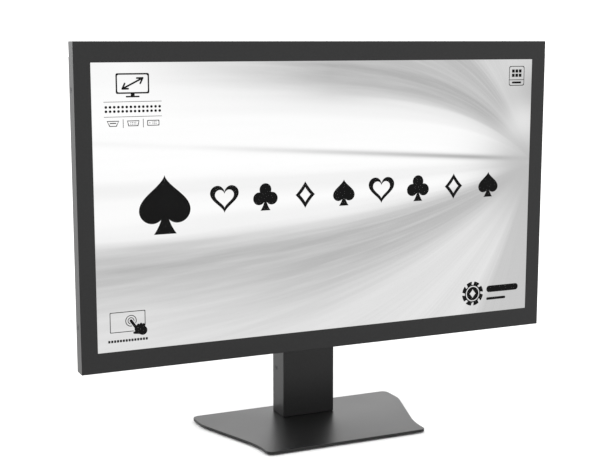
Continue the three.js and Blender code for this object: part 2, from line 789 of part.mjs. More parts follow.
function addTiltPlate() {
  const square = roundedRectangle(TILT.plateSide, TILT.plateSide, TILT.plateCorner);
  const options = { depth: TILT.plateThickness, bevelEnabled: false, curveSegments: 4 };
  const blank = new THREE.ExtrudeGeometry(square, options);
  blank.rotateX(Math.PI / 2);
  blank.translate(0, PLATE_BACK, 0);
  let plate = joined(
    solid(blank),
    raisedAcross(earOutline(), EAR_INNER, EAR_OUTER, 10),
    raisedAcross(earOutline(), -EAR_OUTER, -EAR_INNER, 10),
  );
  for (const at of mountPlaces()) {
    const hole = { axis: 'y', from: PLATE_FRONT - 1, to: PLATE_BACK + 1, at };
    plate = cut(plate, rod({ ...hole, radius: MOUNT.holeRadius }));
  }
  const boltHole = { axis: 'x', from: -EAR_OUTER - 1, to: EAR_OUTER + 1, at: [TILT.depth, 0] };
  plate = cut(plate, rod({ ...boltHole, radius: TILT.holeRadius }));
  add(head, 'tilt_plate', plate, blackPaint);
}

function addTiltFasteners() {
  const at = [TILT.depth, 0];
  const hexagon = { axis: 'x', at, radius: TILT.hexRadius, sides: 6 };
  const headInner = -EAR_OUTER - GAP;
  const headOuter = headInner - TILT.headHeight;
  const nutInner = EAR_OUTER + GAP;
  const nutOuter = nutInner + TILT.nutHeight;
  const shankEnd = nutOuter + TILT.threadProud;
  const shank = { axis: 'x', from: headOuter, to: shankEnd, at, radius: TILT.boltRadius };
  const hexHead = { ...hexagon, from: headOuter, to: headInner };
  const hexNut = { ...hexagon, from: nutInner, to: nutOuter };
  const nutBore = { axis: 'x', from: 0, to: nutOuter + 1, at, radius: TILT.holeRadius };
  add(head, 'tilt_bolt', joined(rod(shank), rod(hexHead)), zincSteel);
  add(head, 'tilt_nut', cut(rod(hexNut), rod(nutBore)), zincSteel);
  for (const [side, sign] of [['left', -1], ['right', 1]]) {
    const inner = sign * (COLUMN.width / 2 + GAP);
    const outer = inner + sign * TILT.washer;
    const span = { axis: 'x', from: Math.min(inner, outer), to: Math.max(inner, outer), at };
    const bore = { ...span, from: span.from - 1, to: span.to + 1, radius: TILT.holeRadius };
    const disc = { ...span, radius: TILT.washerRadius, sides: FINE_SIDES };
    add(head, `friction_washer_${side}`, cut(rod(disc), rod(bore)), brassTurned);
  }
  mountPlaces().forEach(([x, z], i) => {
    const top = PLATE_BACK + GAP + MOUNT_SCREW.headHeight;
    add(head, `mount_screw_${i + 1}`, screw(MOUNT_SCREW), zincSteel, [x, top, z], HEAD_TO_REAR);
  });
}

// ---------------------------------------------------------------- stand

// The base plate's right-hand side, from the rear edge to the front edge. Its width is full
// at the rear, then narrows along a straight slope, and is parallel again at the front.
function baseSide(shape, sign) {
  const { rearHalfWidth, frontHalfWidth, halfDepth, rearCorner, frontCorner } = BASE;
  const rearBend = { start: 50.2, corner: 41.7, end: 33.2 };
  const frontBend = { start: -30.8, corner: -48.3, end: -65.8 };
  const slope = (rearHalfWidth - frontHalfWidth) / (rearBend.corner - frontBend.corner);
  const onSlope = (y) => frontHalfWidth + slope * (y - frontBend.corner);
  const steps = [
    ['line', rearHalfWidth - rearCorner, halfDepth],
    ['bend', rearHalfWidth, halfDepth, rearHalfWidth, halfDepth - rearCorner],
    ['line', rearHalfWidth, rearBend.start],
    ['bend', rearHalfWidth, rearBend.corner, onSlope(rearBend.end), rearBend.end],
    ['line', onSlope(frontBend.start), frontBend.start],
    ['bend', frontHalfWidth, frontBend.corner, frontHalfWidth, frontBend.end],
    ['line', frontHalfWidth, -halfDepth + frontCorner],
    ['bend', frontHalfWidth, -halfDepth, frontHalfWidth - frontCorner, -halfDepth],
  ];
  if (sign > 0) {
    for (const [kind, ...n] of steps) {
      if (kind === 'line') shape.lineTo(n[0], n[1]);
      else shape.quadraticCurveTo(n[0], n[1], n[2], n[3]);
    }
    return;
  }
  const ends = steps.map(([kind, ...n]) => (kind === 'line' ? n : n.slice(2)));
  for (let i = steps.length - 1; i >= 0; i -= 1) {
    const [endX, endY] = i > 0 ? ends[i - 1] : [rearHalfWidth - rearCorner, halfDepth];
    if (steps[i][0] === 'line') shape.lineTo(-endX, endY);
    else shape.quadraticCurveTo(-steps[i][1], steps[i][2], -endX, endY);
  }
}

function baseOutline() {
  const shape = new THREE.Shape();
  shape.moveTo(-BASE.rearHalfWidth + BASE.rearCorner, BASE.halfDepth);
  baseSide(shape, 1);
  shape.lineTo(-BASE.frontHalfWidth + BASE.frontCorner, -BASE.halfDepth);
  baseSide(shape, -1);
  return shape;
}

function addBase() {
  let plate = raised(baseOutline(), BASE_BOTTOM, BASE_TOP, 10);
  const { headRadius, headHeight, shankRadius } = BASE_SCREW;
  const countersink = turned([
    [0, -BASE.thickness - 1],
    [shankRadius + GAP, -BASE.thickness - 1],
    [shankRadius + GAP, -headHeight],
    [headRadius + GAP, 0],
    [headRadius + GAP, 1],
    [0, 1],
  ]);
  for (const sign of [-1, 1]) {
    const tool = countersink.rotate([180, 0, 0]);
    plate = cut(plate, tool.translate([sign * BASE_SCREW.x, COLUMN.y, BASE_BOTTOM]));
  }
  add(stand, 'base_plate', plate, blackPaint);
  const corners = { front: [FOOT.frontX, -FOOT.y], rear: [FOOT.rearX, FOOT.y] };
  for (const [end, [x, y]] of Object.entries(corners)) {
    for (const [side, sign] of [['left', -1], ['right', 1]]) {
      const foot = turned([
        [0, 0],
        [FOOT.radius - 0.5, 0],
        [FOOT.radius, 0.5],
        [FOOT.radius, FOOT.height],
        [0, FOOT.height],
      ], FINE_SIDES);
      add(stand, `foot_${end}_${side}`, foot, footRubber, [sign * x, y, 0]);
    }
  }
}

function addColumn() {
  const bottom = BASE_TOP + GAP;
  const outer = roundedRectangle(COLUMN.width, COLUMN.depth, COLUMN.corner);
  const innerWidth = COLUMN.width - 2 * COLUMN.sheet;
  const innerDepth = COLUMN.depth - 2 * COLUMN.sheet;
  const inside = new THREE.BoxGeometry(innerWidth, innerDepth, 2 * COLUMN.top);
  const axis = [COLUMN.y, SCREEN_Z];
  const across = { axis: 'x', from: -COLUMN.width, to: COLUMN.width };
  const boltBore = rod({ ...across, at: axis, radius: TILT.holeRadius });
  const screwPlace = [SLEEVE_SCREW.y, SLEEVE_SCREW.z];
  const headHole = rod({ ...across, at: screwPlace, radius: SIDE_SCREW.headRadius + GAP });
  const shankHole = rod({ ...across, at: screwPlace, radius: SIDE_SCREW.shankRadius + GAP });

  const tube = cut(raised(outer, bottom, COLUMN.top, 4), solid(inside));
  const sleeve = cut(tube.translate([0, COLUMN.y, 0]), boltBore, headHole);
  add(stand, 'column_sleeve', sleeve, blackPaint);

  const front = COLUMN.y - CORE.depth / 2;
  const back = COLUMN.y + CORE.depth / 2;
  const block = (width, y0, y1, z0, z1) => (
    slab({ width, height: z1 - z0, front: y0, back: y1, z: (z0 + z1) / 2 })
  );
  const channel = cut(
    block(CORE.width, front, back, bottom, CORE.top),
    block(CORE.width - 2 * CORE.sheet, front + CORE.sheet, back + 1, bottom + CORE.foot, CORE.top + 1),
  );
  const footBores = [-1, 1].map((sign) => (
    rod({
      axis: 'z',
      from: 0,
      to: CORE.top / 2,
      at: [sign * BASE_SCREW.x, COLUMN.y],
      radius: BASE_SCREW.shankRadius + GAP,
    })
  ));
  add(stand, 'column_core', cut(channel, boltBore, shankHole, ...footBores), zincSteel);

  const lidBottom = COLUMN.top + GAP;
  const lid = raised(outer, lidBottom, lidBottom + COLUMN_CAP.lid, 4);
  const plug = new THREE.BoxGeometry(innerWidth - 2 * GAP, innerDepth - 2 * GAP, COLUMN_CAP.plug);
  plug.translate(0, 0, COLUMN.top + COLUMN_CAP.plugMiddle);
  const cap = joined(lid, solid(plug));
  add(stand, 'column_cap', cap.translate([0, COLUMN.y, 0]), blackPlastic);
}

function addStandScrews() {
  for (const [side, sign] of [['left', -1], ['right', 1]]) {
    const basePlace = [sign * BASE_SCREW.x, COLUMN.y, BASE_BOTTOM];
    add(stand, `base_screw_${side}`, screw(BASE_SCREW), zincSteel, basePlace, HEAD_DOWN);
    const sleevePlace = [(sign * COLUMN.width) / 2, SLEEVE_SCREW.y, SLEEVE_SCREW.z];
    const turn = headToSide(sign);
    add(stand, `sleeve_screw_${side}`, screw(SIDE_SCREW), blackScrew, sleevePlace, turn);
  }
}

addBase();
addColumn();
addStandScrews();
addFrontFrame();
addTouchGlass();
addDisplayPanel();
addRearChassis();
addElectronicsCover();
addHousingScrews();
addCircuitBoards();
addKeyBoard();
addFlatCables();
addSockets();
addButtons();
addTiltPlate();
addTiltFasteners();

export default monitor;
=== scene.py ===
"""The looks of a desktop touch-screen monitor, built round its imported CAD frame.

Everything is in metres in the CAD's own frame: X runs across the screen, Y to the rear and Z up.
Sheet-metal pieces keep their CAD solids and get rounded edges and a finish. The picture, screws,
buttons, feet, hinge fasteners and sockets are replaced by finer pieces of the same size and place.
"""

import json
import math
from types import SimpleNamespace

import bmesh
import bpy
from mathutils import Matrix, Vector
from mathutils.geometry import delaunay_2d_cdt


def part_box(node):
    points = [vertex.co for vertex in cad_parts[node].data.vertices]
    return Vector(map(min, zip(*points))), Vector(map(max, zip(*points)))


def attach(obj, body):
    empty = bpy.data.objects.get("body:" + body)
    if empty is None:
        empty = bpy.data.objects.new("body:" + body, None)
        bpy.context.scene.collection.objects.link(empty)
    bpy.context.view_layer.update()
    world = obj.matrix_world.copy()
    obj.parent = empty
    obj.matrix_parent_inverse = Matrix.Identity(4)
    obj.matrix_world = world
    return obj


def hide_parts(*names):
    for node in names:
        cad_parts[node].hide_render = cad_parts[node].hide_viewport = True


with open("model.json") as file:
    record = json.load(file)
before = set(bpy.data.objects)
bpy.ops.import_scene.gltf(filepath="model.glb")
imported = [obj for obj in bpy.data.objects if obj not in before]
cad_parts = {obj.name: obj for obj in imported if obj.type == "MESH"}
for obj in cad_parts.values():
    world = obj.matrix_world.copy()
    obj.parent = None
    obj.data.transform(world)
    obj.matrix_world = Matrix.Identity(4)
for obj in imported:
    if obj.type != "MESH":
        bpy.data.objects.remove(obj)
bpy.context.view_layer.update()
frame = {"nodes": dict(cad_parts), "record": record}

MM = 0.001
TAU = 2 * math.pi
BODY_OF = {node: body for body, nodes in frame["record"]["behaviour"]["bodies"].items() for node in nodes}

FRAME_LOW, FRAME_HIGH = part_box("front_frame")
CELL_LOW, CELL_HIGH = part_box("lcd_cell")
SCREEN = Vector(((FRAME_LOW.x + FRAME_HIGH.x) / 2, FRAME_LOW.y, (FRAME_LOW.z + FRAME_HIGH.z) / 2))

LEFT, RIGHT = Vector((-1, 0, 0)), Vector((1, 0, 0))
REAR, DOWN = Vector((0, 1, 0)), Vector((0, 0, -1))


def middle(node):
    """The middle of a CAD node's box."""
    low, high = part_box(node)
    return (low + high) / 2


def extent(node):
    """The size of a CAD node's box."""
    low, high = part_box(node)
    return high - low


def new_object(name, data):
    """Puts a new object in the scene."""
    made = bpy.data.objects.new(name, data)
    bpy.context.scene.collection.objects.link(made)
    return made


# --- camera and studio

CAMERA_AZIMUTH = math.radians(-24.69)
CAMERA_ELEVATION = math.radians(9.10)
CAMERA_DISTANCE = 1.2984
CAMERA_LENS = 73.5
AIM_RIGHT = -0.0309  # the camera aims a little left of and below the middle of the screen
AIM_UP = -0.0416


def make_camera():
    """The photographer's view: from the left of the screen, a little above its middle."""
    turn_cos, turn_sin = math.cos(CAMERA_AZIMUTH), math.sin(CAMERA_AZIMUTH)
    level = math.cos(CAMERA_ELEVATION)
    back = Vector((turn_sin * level, -turn_cos * level, math.sin(CAMERA_ELEVATION)))
    right = Vector((turn_cos, turn_sin, 0))
    up = back.cross(right)
    data = bpy.data.cameras.new("camera")
    data.lens = CAMERA_LENS
    data.sensor_width = 36
    data.clip_start = 0.01
    data.clip_end = 50
    camera = new_object("camera", data)
    place = SCREEN + AIM_RIGHT * right + AIM_UP * up + CAMERA_DISTANCE * back
    axes = Matrix((right, up, back)).transposed()
    camera.matrix_world = Matrix.Translation(place) @ axes.to_4x4()
    bpy.context.scene.camera = camera


# Brightness of the white surroundings: low in front, low behind, and high up.
SKY_FRONT = 1.6
SKY_BACK = 2.75
SKY_HIGH = 1.7
SKY_TURN = 0.4  # sine of the angle over which front turns into back
SKY_FADE = 0.4  # sine of the elevation at which low turns into high

SUN_STRENGTH = 0.35
SUN_SPREAD = math.radians(70)
SUN_HEIGHT = 3
FLOOR_REACH = 30


def make_surroundings():
    """White surroundings, brighter behind the object than in front of it."""
    world = bpy.data.worlds.new("studio")
    world.use_nodes = True
    kit = SimpleNamespace(tree=world.node_tree)
    background = kit.tree.nodes["Background"]
    background.inputs["Color"].default_value = (1, 1, 1, 1)
    ray = shader_node(kit, "SeparateXYZ", {0: shader_node(kit, "TexCoord").outputs["Generated"]}).outputs
    low = between(kit, ray["Y"], SKY_FRONT, SKY_BACK, -SKY_TURN, SKY_TURN)
    glow = between(kit, ray["Z"], low, SKY_HIGH, 0.0, SKY_FADE)
    feed(kit, background.inputs["Strength"], glow)
    bpy.context.scene.world = world


def make_studio():
    """A pale floor in white surroundings, with a broad soft light straight overhead."""
    scene = bpy.context.scene
    scene.view_settings.view_transform = "Standard"
    scene.view_settings.look = "None"
    make_surroundings()

    mesh = bpy.data.meshes.new("floor")
    corners = [(FLOOR_REACH * x, FLOOR_REACH * y, 0) for x, y in ((-1, -1), (1, -1), (1, 1), (-1, 1))]
    mesh.from_pydata(corners, [], [(0, 1, 2, 3)])
    mesh.materials.append(PAPER)
    floor = new_object("floor", mesh)

    sun = bpy.data.lights.new("overhead", "SUN")
    sun.energy = SUN_STRENGTH
    sun.angle = SUN_SPREAD
    new_object("overhead", sun).location = (0, 0, SUN_HEIGHT)


# --- shader helpers

def grey(value):
    """A grey of the given display value, 0 to 1, as linear light."""
    linear = value / 12.92 if value <= 0.04045 else ((value + 0.055) / 1.055) ** 2.4
    return (linear, linear, linear, 1)


def feed(kit, socket, value):
    """Gives a socket a plain value, or links another node's output to it."""
    if isinstance(value, bpy.types.NodeSocket):
        kit.tree.links.new(value, socket)
    else:
        socket.default_value = value


def shader_node(kit, kind, inputs=None, **settings):
    """Adds a shader node. An input is a plain value or another node's output."""
    made = kit.tree.nodes.new("ShaderNode" + kind)
    for name, value in settings.items():
        setattr(made, name, value)
    for name, value in (inputs or {}).items():
        feed(kit, made.inputs[name], value)
    return made


def calc(kit, operation, first, second=0.0):
    """The output of one math node."""
    return shader_node(kit, "Math", {0: first, 1: second}, operation=operation).outputs[0]


def new_material(name):
    """A kit to build a material with: its node tree, surface shader and coordinates."""
    material = bpy.data.materials.new(name)
    material.use_nodes = True
    kit = SimpleNamespace(material=material, tree=material.node_tree)
    kit.tree.nodes.clear()
    kit.surface = shader_node(kit, "BsdfPrincipled")
    shader_node(kit, "OutputMaterial", {"Surface": kit.surface.outputs[0]})
    kit.coordinates = shader_node(kit, "TexCoord").outputs["Object"]
    return kit


def noise(kit, scale, detail=2.0, stretch=None, vector=None):
    """Noise with scale features per metre, times stretch along each axis."""
    if vector is None:
        vector = kit.coordinates
    if stretch:
        vector = shader_node(kit, "Mapping", {"Vector": vector, "Scale": stretch}).outputs[0]
    inputs = {"Vector": vector, "Scale": scale, "Detail": detail}
    return shader_node(kit, "TexNoise", inputs).outputs["Fac"]


def between(kit, factor, low, high, start=0.0, end=1.0):
    """Spreads a factor that runs from start to end over low to high."""
    inputs = {"Value": factor, "From Min": start, "From Max": end, "To Min": low, "To Max": high}
    return shader_node(kit, "MapRange", inputs).outputs[0]


def blend_colours(kit, factor, first, second):
    """The first colour where the factor is 0, and the second where it is 1."""
    inputs = {"Factor": factor, 6: first, 7: second}
    return shader_node(kit, "Mix", inputs, data_type="RGBA").outputs[2]


def multiplied(tone, times):
    """A colour with its channels multiplied, up to full brightness."""
    return tuple(min(1.0, times * channel) for channel in tone[:3]) + (1,)


def set_surface(kit, **values):
    """Sets the Principled shader's inputs. Underscores in a name stand for spaces."""
    for name, value in values.items():
        feed(kit, kit.surface.inputs[name.replace("_", " ")], value)


def bumps(kit, *layers):
    """Stacks bump layers, each a (height, depth in metres) pair, on the surface."""
    below = {}
    for height, depth in layers:
        inputs = {"Height": height, "Distance": depth, "Strength": 1.0, **below}
        below = {"Normal": shader_node(kit, "Bump", inputs).outputs[0]}
    set_surface(kit, **below)


# --- materials

GLASS_ALPHA = 0.03
PICTURE_STRENGTH = 1 / (1 - GLASS_ALPHA) ** 2  # makes up for what the glass's two faces hold back


def clouded(name, scale, detail, first, second, **surface):
    """A smooth material mottled in two colours. The rest is what set_surface takes."""
    kit = new_material(name)
    cloud = noise(kit, scale, detail)
    set_surface(kit, Base_Color=blend_colours(kit, cloud, first, second), **surface)
    return kit.material


def powder_coat(name, dark, light, roughness):
    """Satin powder coat: a speckled orange peel under slow changes of sheen."""
    kit = new_material(name)
    peel = noise(kit, 850, detail=3)
    grain = noise(kit, 3600, detail=1)
    cloud = noise(kit, 7, detail=2)
    speckle = between(kit, peel, 0.0, 1.0, 0.35, 0.65)
    set_surface(kit, Base_Color=blend_colours(kit, speckle, dark, light), IOR=1.38,
                Roughness=between(kit, cloud, roughness - 0.03, roughness + 0.03, 0.3, 0.7))
    bumps(kit, (peel, 0.00003), (grain, 0.000006))
    return kit.material


def plated_steel(name, tone, roughness):
    """Plated or blackened metal, with a fine brushed grain and faint stains."""
    kit = new_material(name)
    grain = noise(kit, 160, detail=3, stretch=(1, 1, 14))
    stain = noise(kit, 60, detail=3)
    set_surface(kit, Base_Color=blend_colours(kit, stain, multiplied(tone, 0.78), tone), Metallic=1.0,
                Roughness=between(kit, grain, roughness - 0.07, roughness + 0.1, 0.3, 0.7))
    bumps(kit, (grain, 0.000006))
    return kit.material


def moulded_plastic(name, tone, roughness, texture_depth=0.00002):
    """Injection-moulded plastic with a fine spark-eroded texture."""
    kit = new_material(name)
    spark = noise(kit, 1900, detail=2)
    cloud = noise(kit, 25)
    set_surface(kit, Base_Color=blend_colours(kit, cloud, tone, multiplied(tone, 1.18)), IOR=1.46,
                Roughness=between(kit, spark, roughness - 0.06, roughness + 0.08, 0.3, 0.7))
    bumps(kit, (spark, texture_depth))
    return kit.material


def foot_rubber():
    """Crumbly black rubber under a little dust."""
    kit = new_material("foot_rubber")
    crumb = noise(kit, 1400, detail=3)
    dust = noise(kit, 90, detail=4)
    tone = blend_colours(kit, dust, (0.012, 0.012, 0.012, 1), (0.03, 0.029, 0.028, 1))
    set_surface(kit, Base_Color=tone, Roughness=between(kit, crumb, 0.75, 0.95), Specular_IOR_Level=0.3)
    bumps(kit, (crumb, 0.00005))
    return kit.material


def foam_tape():
    """Closed-cell foam."""
    kit = new_material("foam_tape")
    cells = shader_node(kit, "TexVoronoi", {"Vector": kit.coordinates, "Scale": 1500})
    set_surface(kit, Base_Color=(0.006, 0.006, 0.006, 1), Roughness=0.95, Specular_IOR_Level=0.1)
    bumps(kit, (cells.outputs["Distance"], 0.0001))
    return kit.material


def clear_glass():
    """Glass with an anti-glare coat. What is behind it shows almost unchanged."""
    kit = new_material("touch_glass_clear")
    smudge = noise(kit, 18, detail=4)
    set_surface(kit, Base_Color=(0.02, 0.02, 0.02, 1), IOR=1.5, Specular_IOR_Level=0.15,
                Roughness=between(kit, smudge, 0.12, 0.2, 0.3, 0.7), Alpha=GLASS_ALPHA)
    return kit.material


def solder_mask():
    """A green circuit board with fine copper tracks under its lacquer."""
    kit = new_material("solder_mask")
    tracks = shader_node(kit, "TexBrick", {
        "Vector": kit.coordinates, "Scale": 160.0, "Mortar Size": 0.012, "Mortar": (0.03, 0.2, 0.09, 1),
        "Color1": (0.012, 0.10, 0.045, 1), "Color2": (0.010, 0.085, 0.04, 1),
    })
    set_surface(kit, Base_Color=tracks.outputs["Color"], Roughness=0.35, Coat_Weight=0.3)
    bumps(kit, (tracks.outputs["Fac"], 0.00003))
    return kit.material


def flat_cable_film(name, tone, core):
    """A ribbon cable, with its conductors showing as fine stripes along it."""
    kit = new_material(name)
    across = shader_node(kit, "SeparateXYZ", {0: kit.coordinates}).outputs["X"]
    share = between(kit, calc(kit, "PINGPONG", across, 0.0005), 0.0, 1.0, 0.0001, 0.0004)
    set_surface(kit, Base_Color=blend_colours(kit, share, tone, core), Roughness=0.45)
    bumps(kit, (share, 0.00004))
    return kit.material


# --- the picture's wallpaper

# The picture lies behind the glass, and what it shows is set a little off its middle.
PICTURE_X = SCREEN.x + 2.3 * MM
PICTURE_Z = SCREEN.z - 0.8 * MM

# Soft bands of light fan out from a point at the right-hand edge of the screen. Each stop is
# (height in the fan, display grey). The height is counted in screen heights.
FAN_X = PICTURE_X + 0.260
FAN_Z = PICTURE_Z + 0.0275
UPPER_REACH = 0.10
LOWER_REACH = 0.22
BANDS = (
    (-4.0, 0.77), (-2.4, 0.78), (-1.9, 0.84), (-1.6, 0.89), (-1.30, 0.87), (-1.10, 0.89),
    (-0.92, 0.87), (-0.78, 0.88), (-0.66, 0.83), (-0.56, 0.77), (-0.46, 0.72), (-0.40, 0.74),
    (-0.34, 0.72), (-0.29, 0.78), (-0.25, 0.87), (-0.21, 0.95), (-0.12, 0.99), (-0.04, 0.95),
    (0.04, 1.0), (0.20, 0.99), (0.27, 0.93), (0.33, 0.78), (0.40, 0.70), (0.50, 0.76),
    (0.60, 0.73), (0.80, 0.82), (1.30, 0.84),
)
# A thin dark streak crosses the bands. It drops to the right, and gets darker that way.
STREAK_RISE = 0.0484
STREAK_SLOPE = -0.068
STREAK_WIDTH = 0.0030
# Three soft round spots, each (left of the fan's point, above it, reach, strength, display grey): a
# dark one, a light one under it that hides the ends of the upper bands, and a haze over the point.
SPOTS = (
    (0.000, 0.074, 0.030, 0.9, 0.71),
    (0.014, 0.040, 0.026, 0.9, 0.97),
    (0.012, -0.012, 0.056, 1.0, 0.75),
)


def fan_height(kit, x, z):
    """Height in the fan, and the distance left of its point."""
    left = calc(kit, "MAXIMUM", calc(kit, "SUBTRACT", FAN_X, x), 0.003)
    rise = calc(kit, "DIVIDE", calc(kit, "SUBTRACT", z, FAN_Z), CELL_HIGH.z - CELL_LOW.z)
    reach = between(kit, calc(kit, "GREATER_THAN", rise, 0.0), LOWER_REACH, UPPER_REACH)
    decay = calc(kit, "EXPONENT", calc(kit, "DIVIDE", calc(kit, "MULTIPLY", left, -1.0), reach))
    return calc(kit, "DIVIDE", rise, calc(kit, "SUBTRACT", 1.0, decay)), left


def bell(kit, distance, width):
    """A soft bump: 1 where the distance is zero, and near 0 beyond the width."""
    share = calc(kit, "DIVIDE", distance, width)
    square = calc(kit, "MULTIPLY", share, share)
    return calc(kit, "EXPONENT", calc(kit, "MULTIPLY", square, -1.0))


def soft_spot(kit, left, rise, reach):
    """The same bump, but round: left and rise are the distances from its middle."""
    squares = [calc(kit, "MULTIPLY", way, way) for way in (left, rise)]
    return bell(kit, calc(kit, "SQRT", calc(kit, "ADD", *squares)), reach)


def lit(kit, tone):
    """Makes the surface shine with a colour of its own, and reflect nothing."""
    set_surface(kit, Base_Color=(0, 0, 0, 1), Roughness=0.6, Specular_IOR_Level=0.0,
                Emission_Color=tone, Emission_Strength=PICTURE_STRENGTH)


def fill_ramp(ramp, stops):
    """Sets a colour ramp to (position, display grey) stops, which rise from 0 to 1."""
    ramp.interpolation = "EASE"
    while len(ramp.elements) < len(stops):
        ramp.elements.new(1.0)
    for stop, (position, tone) in zip(ramp.elements, stops):
        stop.position = position
        stop.color = grey(tone)


def wallpaper():
    """Soft grey bands that fan out from a point, crossed by a thin dark streak."""
    kit = new_material("screen_wallpaper")
    parts = shader_node(kit, "SeparateXYZ", {0: kit.coordinates}).outputs
    x, z = parts["X"], parts["Z"]
    height, left = fan_height(kit, x, z)
    flow = shader_node(kit, "CombineXYZ", {0: calc(kit, "MULTIPLY", height, 5.0), 1: left}).outputs[0]
    slow = noise(kit, 3.0, 1.0, vector=flow)
    fine = noise(kit, 9.0, 3.0, vector=flow)
    warped = calc(kit, "ADD", height, between(kit, slow, -0.02, 0.02, 0.3, 0.7))
    lowest, highest = BANDS[0][0], BANDS[-1][0]
    ramp = shader_node(kit, "ValToRGB", {0: between(kit, warped, 0.0, 1.0, lowest, highest)})
    fill_ramp(ramp.color_ramp, [((level - lowest) / (highest - lowest), tone) for level, tone in BANDS])
    # The bands above the point fade to white towards the far side of the screen.
    far = between(kit, left, 0.0, 1.0, 0.26, 0.48)
    upper = between(kit, height, 0.0, 0.9, 0.02, 0.2)
    tone = blend_colours(kit, calc(kit, "MULTIPLY", far, upper), ramp.outputs[0], grey(1.0))
    # So do those below it, except for the darkest.
    lower = between(kit, height, 0.0, 0.85, -0.35, -0.52)
    tone = blend_colours(kit, calc(kit, "MULTIPLY", far, lower), tone, grey(0.88))
    # A faint shimmer lies over all of them, and the streak over that.
    tone = blend_colours(kit, between(kit, fine, 0.0, 0.2, 0.4, 0.75), tone, grey(0.97))
    drop = calc(kit, "MULTIPLY", calc(kit, "SUBTRACT", x, PICTURE_X), STREAK_SLOPE)
    line = calc(kit, "ADD", drop, PICTURE_Z + STREAK_RISE)
    streak = bell(kit, calc(kit, "SUBTRACT", z, line), STREAK_WIDTH)
    streak = calc(kit, "MULTIPLY", streak, between(kit, left, 0.75, 0.06, 0.08, 0.42))
    tone = blend_colours(kit, streak, tone, grey(0.55))
    for spot_left, spot_rise, reach, strength, shade in SPOTS:
        away = calc(kit, "SUBTRACT", left, spot_left)
        rise = calc(kit, "SUBTRACT", z, FAN_Z + spot_rise)
        share = calc(kit, "MULTIPLY", soft_spot(kit, away, rise, reach), strength)
        tone = blend_colours(kit, share, tone, grey(shade))
    lit(kit, tone)
    return kit.material


def picture_ink():
    """The darkest grey that the lit picture shows."""
    kit = new_material("screen_ink")
    lit(kit, blend_colours(kit, noise(kit, 4000, detail=0), grey(0.088), grey(0.108)))
    return kit.material


COAT_TONES = ((0.0008, 0.0008, 0.0009, 1), (0.0042, 0.0042, 0.0044, 1))
BLACK_COAT = powder_coat("black_powder_coat", *COAT_TONES, 0.40)
BASE_COAT = powder_coat("base_powder_coat", *COAT_TONES, 0.37)
ZINC = plated_steel("zinc_steel", (0.58, 0.59, 0.61, 1), 0.34)
BLACK_OXIDE = plated_steel("black_oxide_steel", (0.028, 0.028, 0.031, 1), 0.38)
NICKEL = plated_steel("nickel_shell", (0.66, 0.65, 0.62, 1), 0.24)
GOLD = plated_steel("gold_contact", (0.83, 0.60, 0.24, 1), 0.26)
BRASS = plated_steel("turned_brass", (0.62, 0.45, 0.19, 1), 0.3)
BLACK_PLASTIC = moulded_plastic("black_plastic", (0.014, 0.014, 0.015, 1), 0.5)
WHITE_PLASTIC = moulded_plastic("white_plastic", (0.78, 0.78, 0.76, 1), 0.45)
BLUE_PLASTIC = moulded_plastic("blue_plastic", (0.02, 0.06, 0.36, 1), 0.45)
DARK_FILM = moulded_plastic("polariser_film", (0.01, 0.01, 0.012, 1), 0.2, 0.000002)
RUBBER = foot_rubber()
FOAM = foam_tape()
GLASS = clear_glass()
ACRYLIC = clouded("clear_acrylic", 20, 2, (0.75, 0.82, 0.84, 1), (0.85, 0.9, 0.91, 1),
                  Roughness=0.08, IOR=1.49, Coat_Weight=0.5)
PAPER = clouded("floor_paper", 3, 2, (0.78, 0.78, 0.78, 1), (0.80, 0.80, 0.80, 1),
                Roughness=0.9, Specular_IOR_Level=0.2)
BOARD = solder_mask()
WHITE_RIBBON = flat_cable_film("white_ribbon", (0.72, 0.72, 0.68, 1), (0.45, 0.45, 0.43, 1))
AMBER_RIBBON = flat_cable_film("amber_ribbon", (0.5, 0.2, 0.035, 1), (0.3, 0.1, 0.02, 1))
LEGEND = clouded("legend_print", 2500, 1, (0.5, 0.5, 0.5, 1), (0.55, 0.55, 0.55, 1), Roughness=0.5)
WALLPAPER = wallpaper()
INK = picture_ink()


# --- mesh helpers

def mesh_object(name, vertices, faces, materials, face_materials=None):
    """A new object, with its faces turned outwards and loose points dropped."""
    mesh = bpy.data.meshes.new(name)
    mesh.from_pydata([tuple(v) for v in vertices], [], faces)
    for material in materials:
        mesh.materials.append(material)
    if face_materials:
        mesh.polygons.foreach_set("material_index", face_materials)
    tidy = bmesh.new()
    tidy.from_mesh(mesh)
    bmesh.ops.recalc_face_normals(tidy, faces=tidy.faces)
    bmesh.ops.delete(tidy, geom=[v for v in tidy.verts if not v.link_faces], context="VERTS")
    tidy.to_mesh(mesh)
    tidy.free()
    return new_object(name, mesh)


SAME_POINT = 1e-6  # points nearer than this are joined
FLAT_ANGLE = math.radians(0.5)  # faces that meet at less than this are joined
SHARP_ANGLE = math.radians(30)  # edges sharper than this are rounded
FINE_EDGE = 0.06 * MM


def round_edges(thing, width, segments=2, clamp=True):
    """Joins flat faces, rounds the sharp edges between them and smooths the shading.

    Clamping narrows every rounding of a piece to suit its shortest edge.
    """
    thing.data.polygons.foreach_set("use_smooth", [True] * len(thing.data.polygons))
    weld = thing.modifiers.new("weld", "WELD")
    weld.merge_threshold = SAME_POINT
    flatten = thing.modifiers.new("join_flat_faces", "DECIMATE")
    flatten.decimate_type = "DISSOLVE"
    flatten.angle_limit = FLAT_ANGLE
    bevel = thing.modifiers.new("rounded_edges", "BEVEL")
    bevel.width = width
    bevel.segments = segments
    bevel.limit_method = "ANGLE"
    bevel.angle_limit = SHARP_ANGLE
    bevel.use_clamp_overlap = clamp
    normals = thing.modifiers.new("face_normals", "WEIGHTED_NORMAL")
    normals.keep_sharp = True


def add_detail(thing, node, rounding=FINE_EDGE):
    """Lets a small new piece ride with a CAD node."""
    if rounding:
        round_edges(thing, rounding)
    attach(thing, BODY_OF[node])


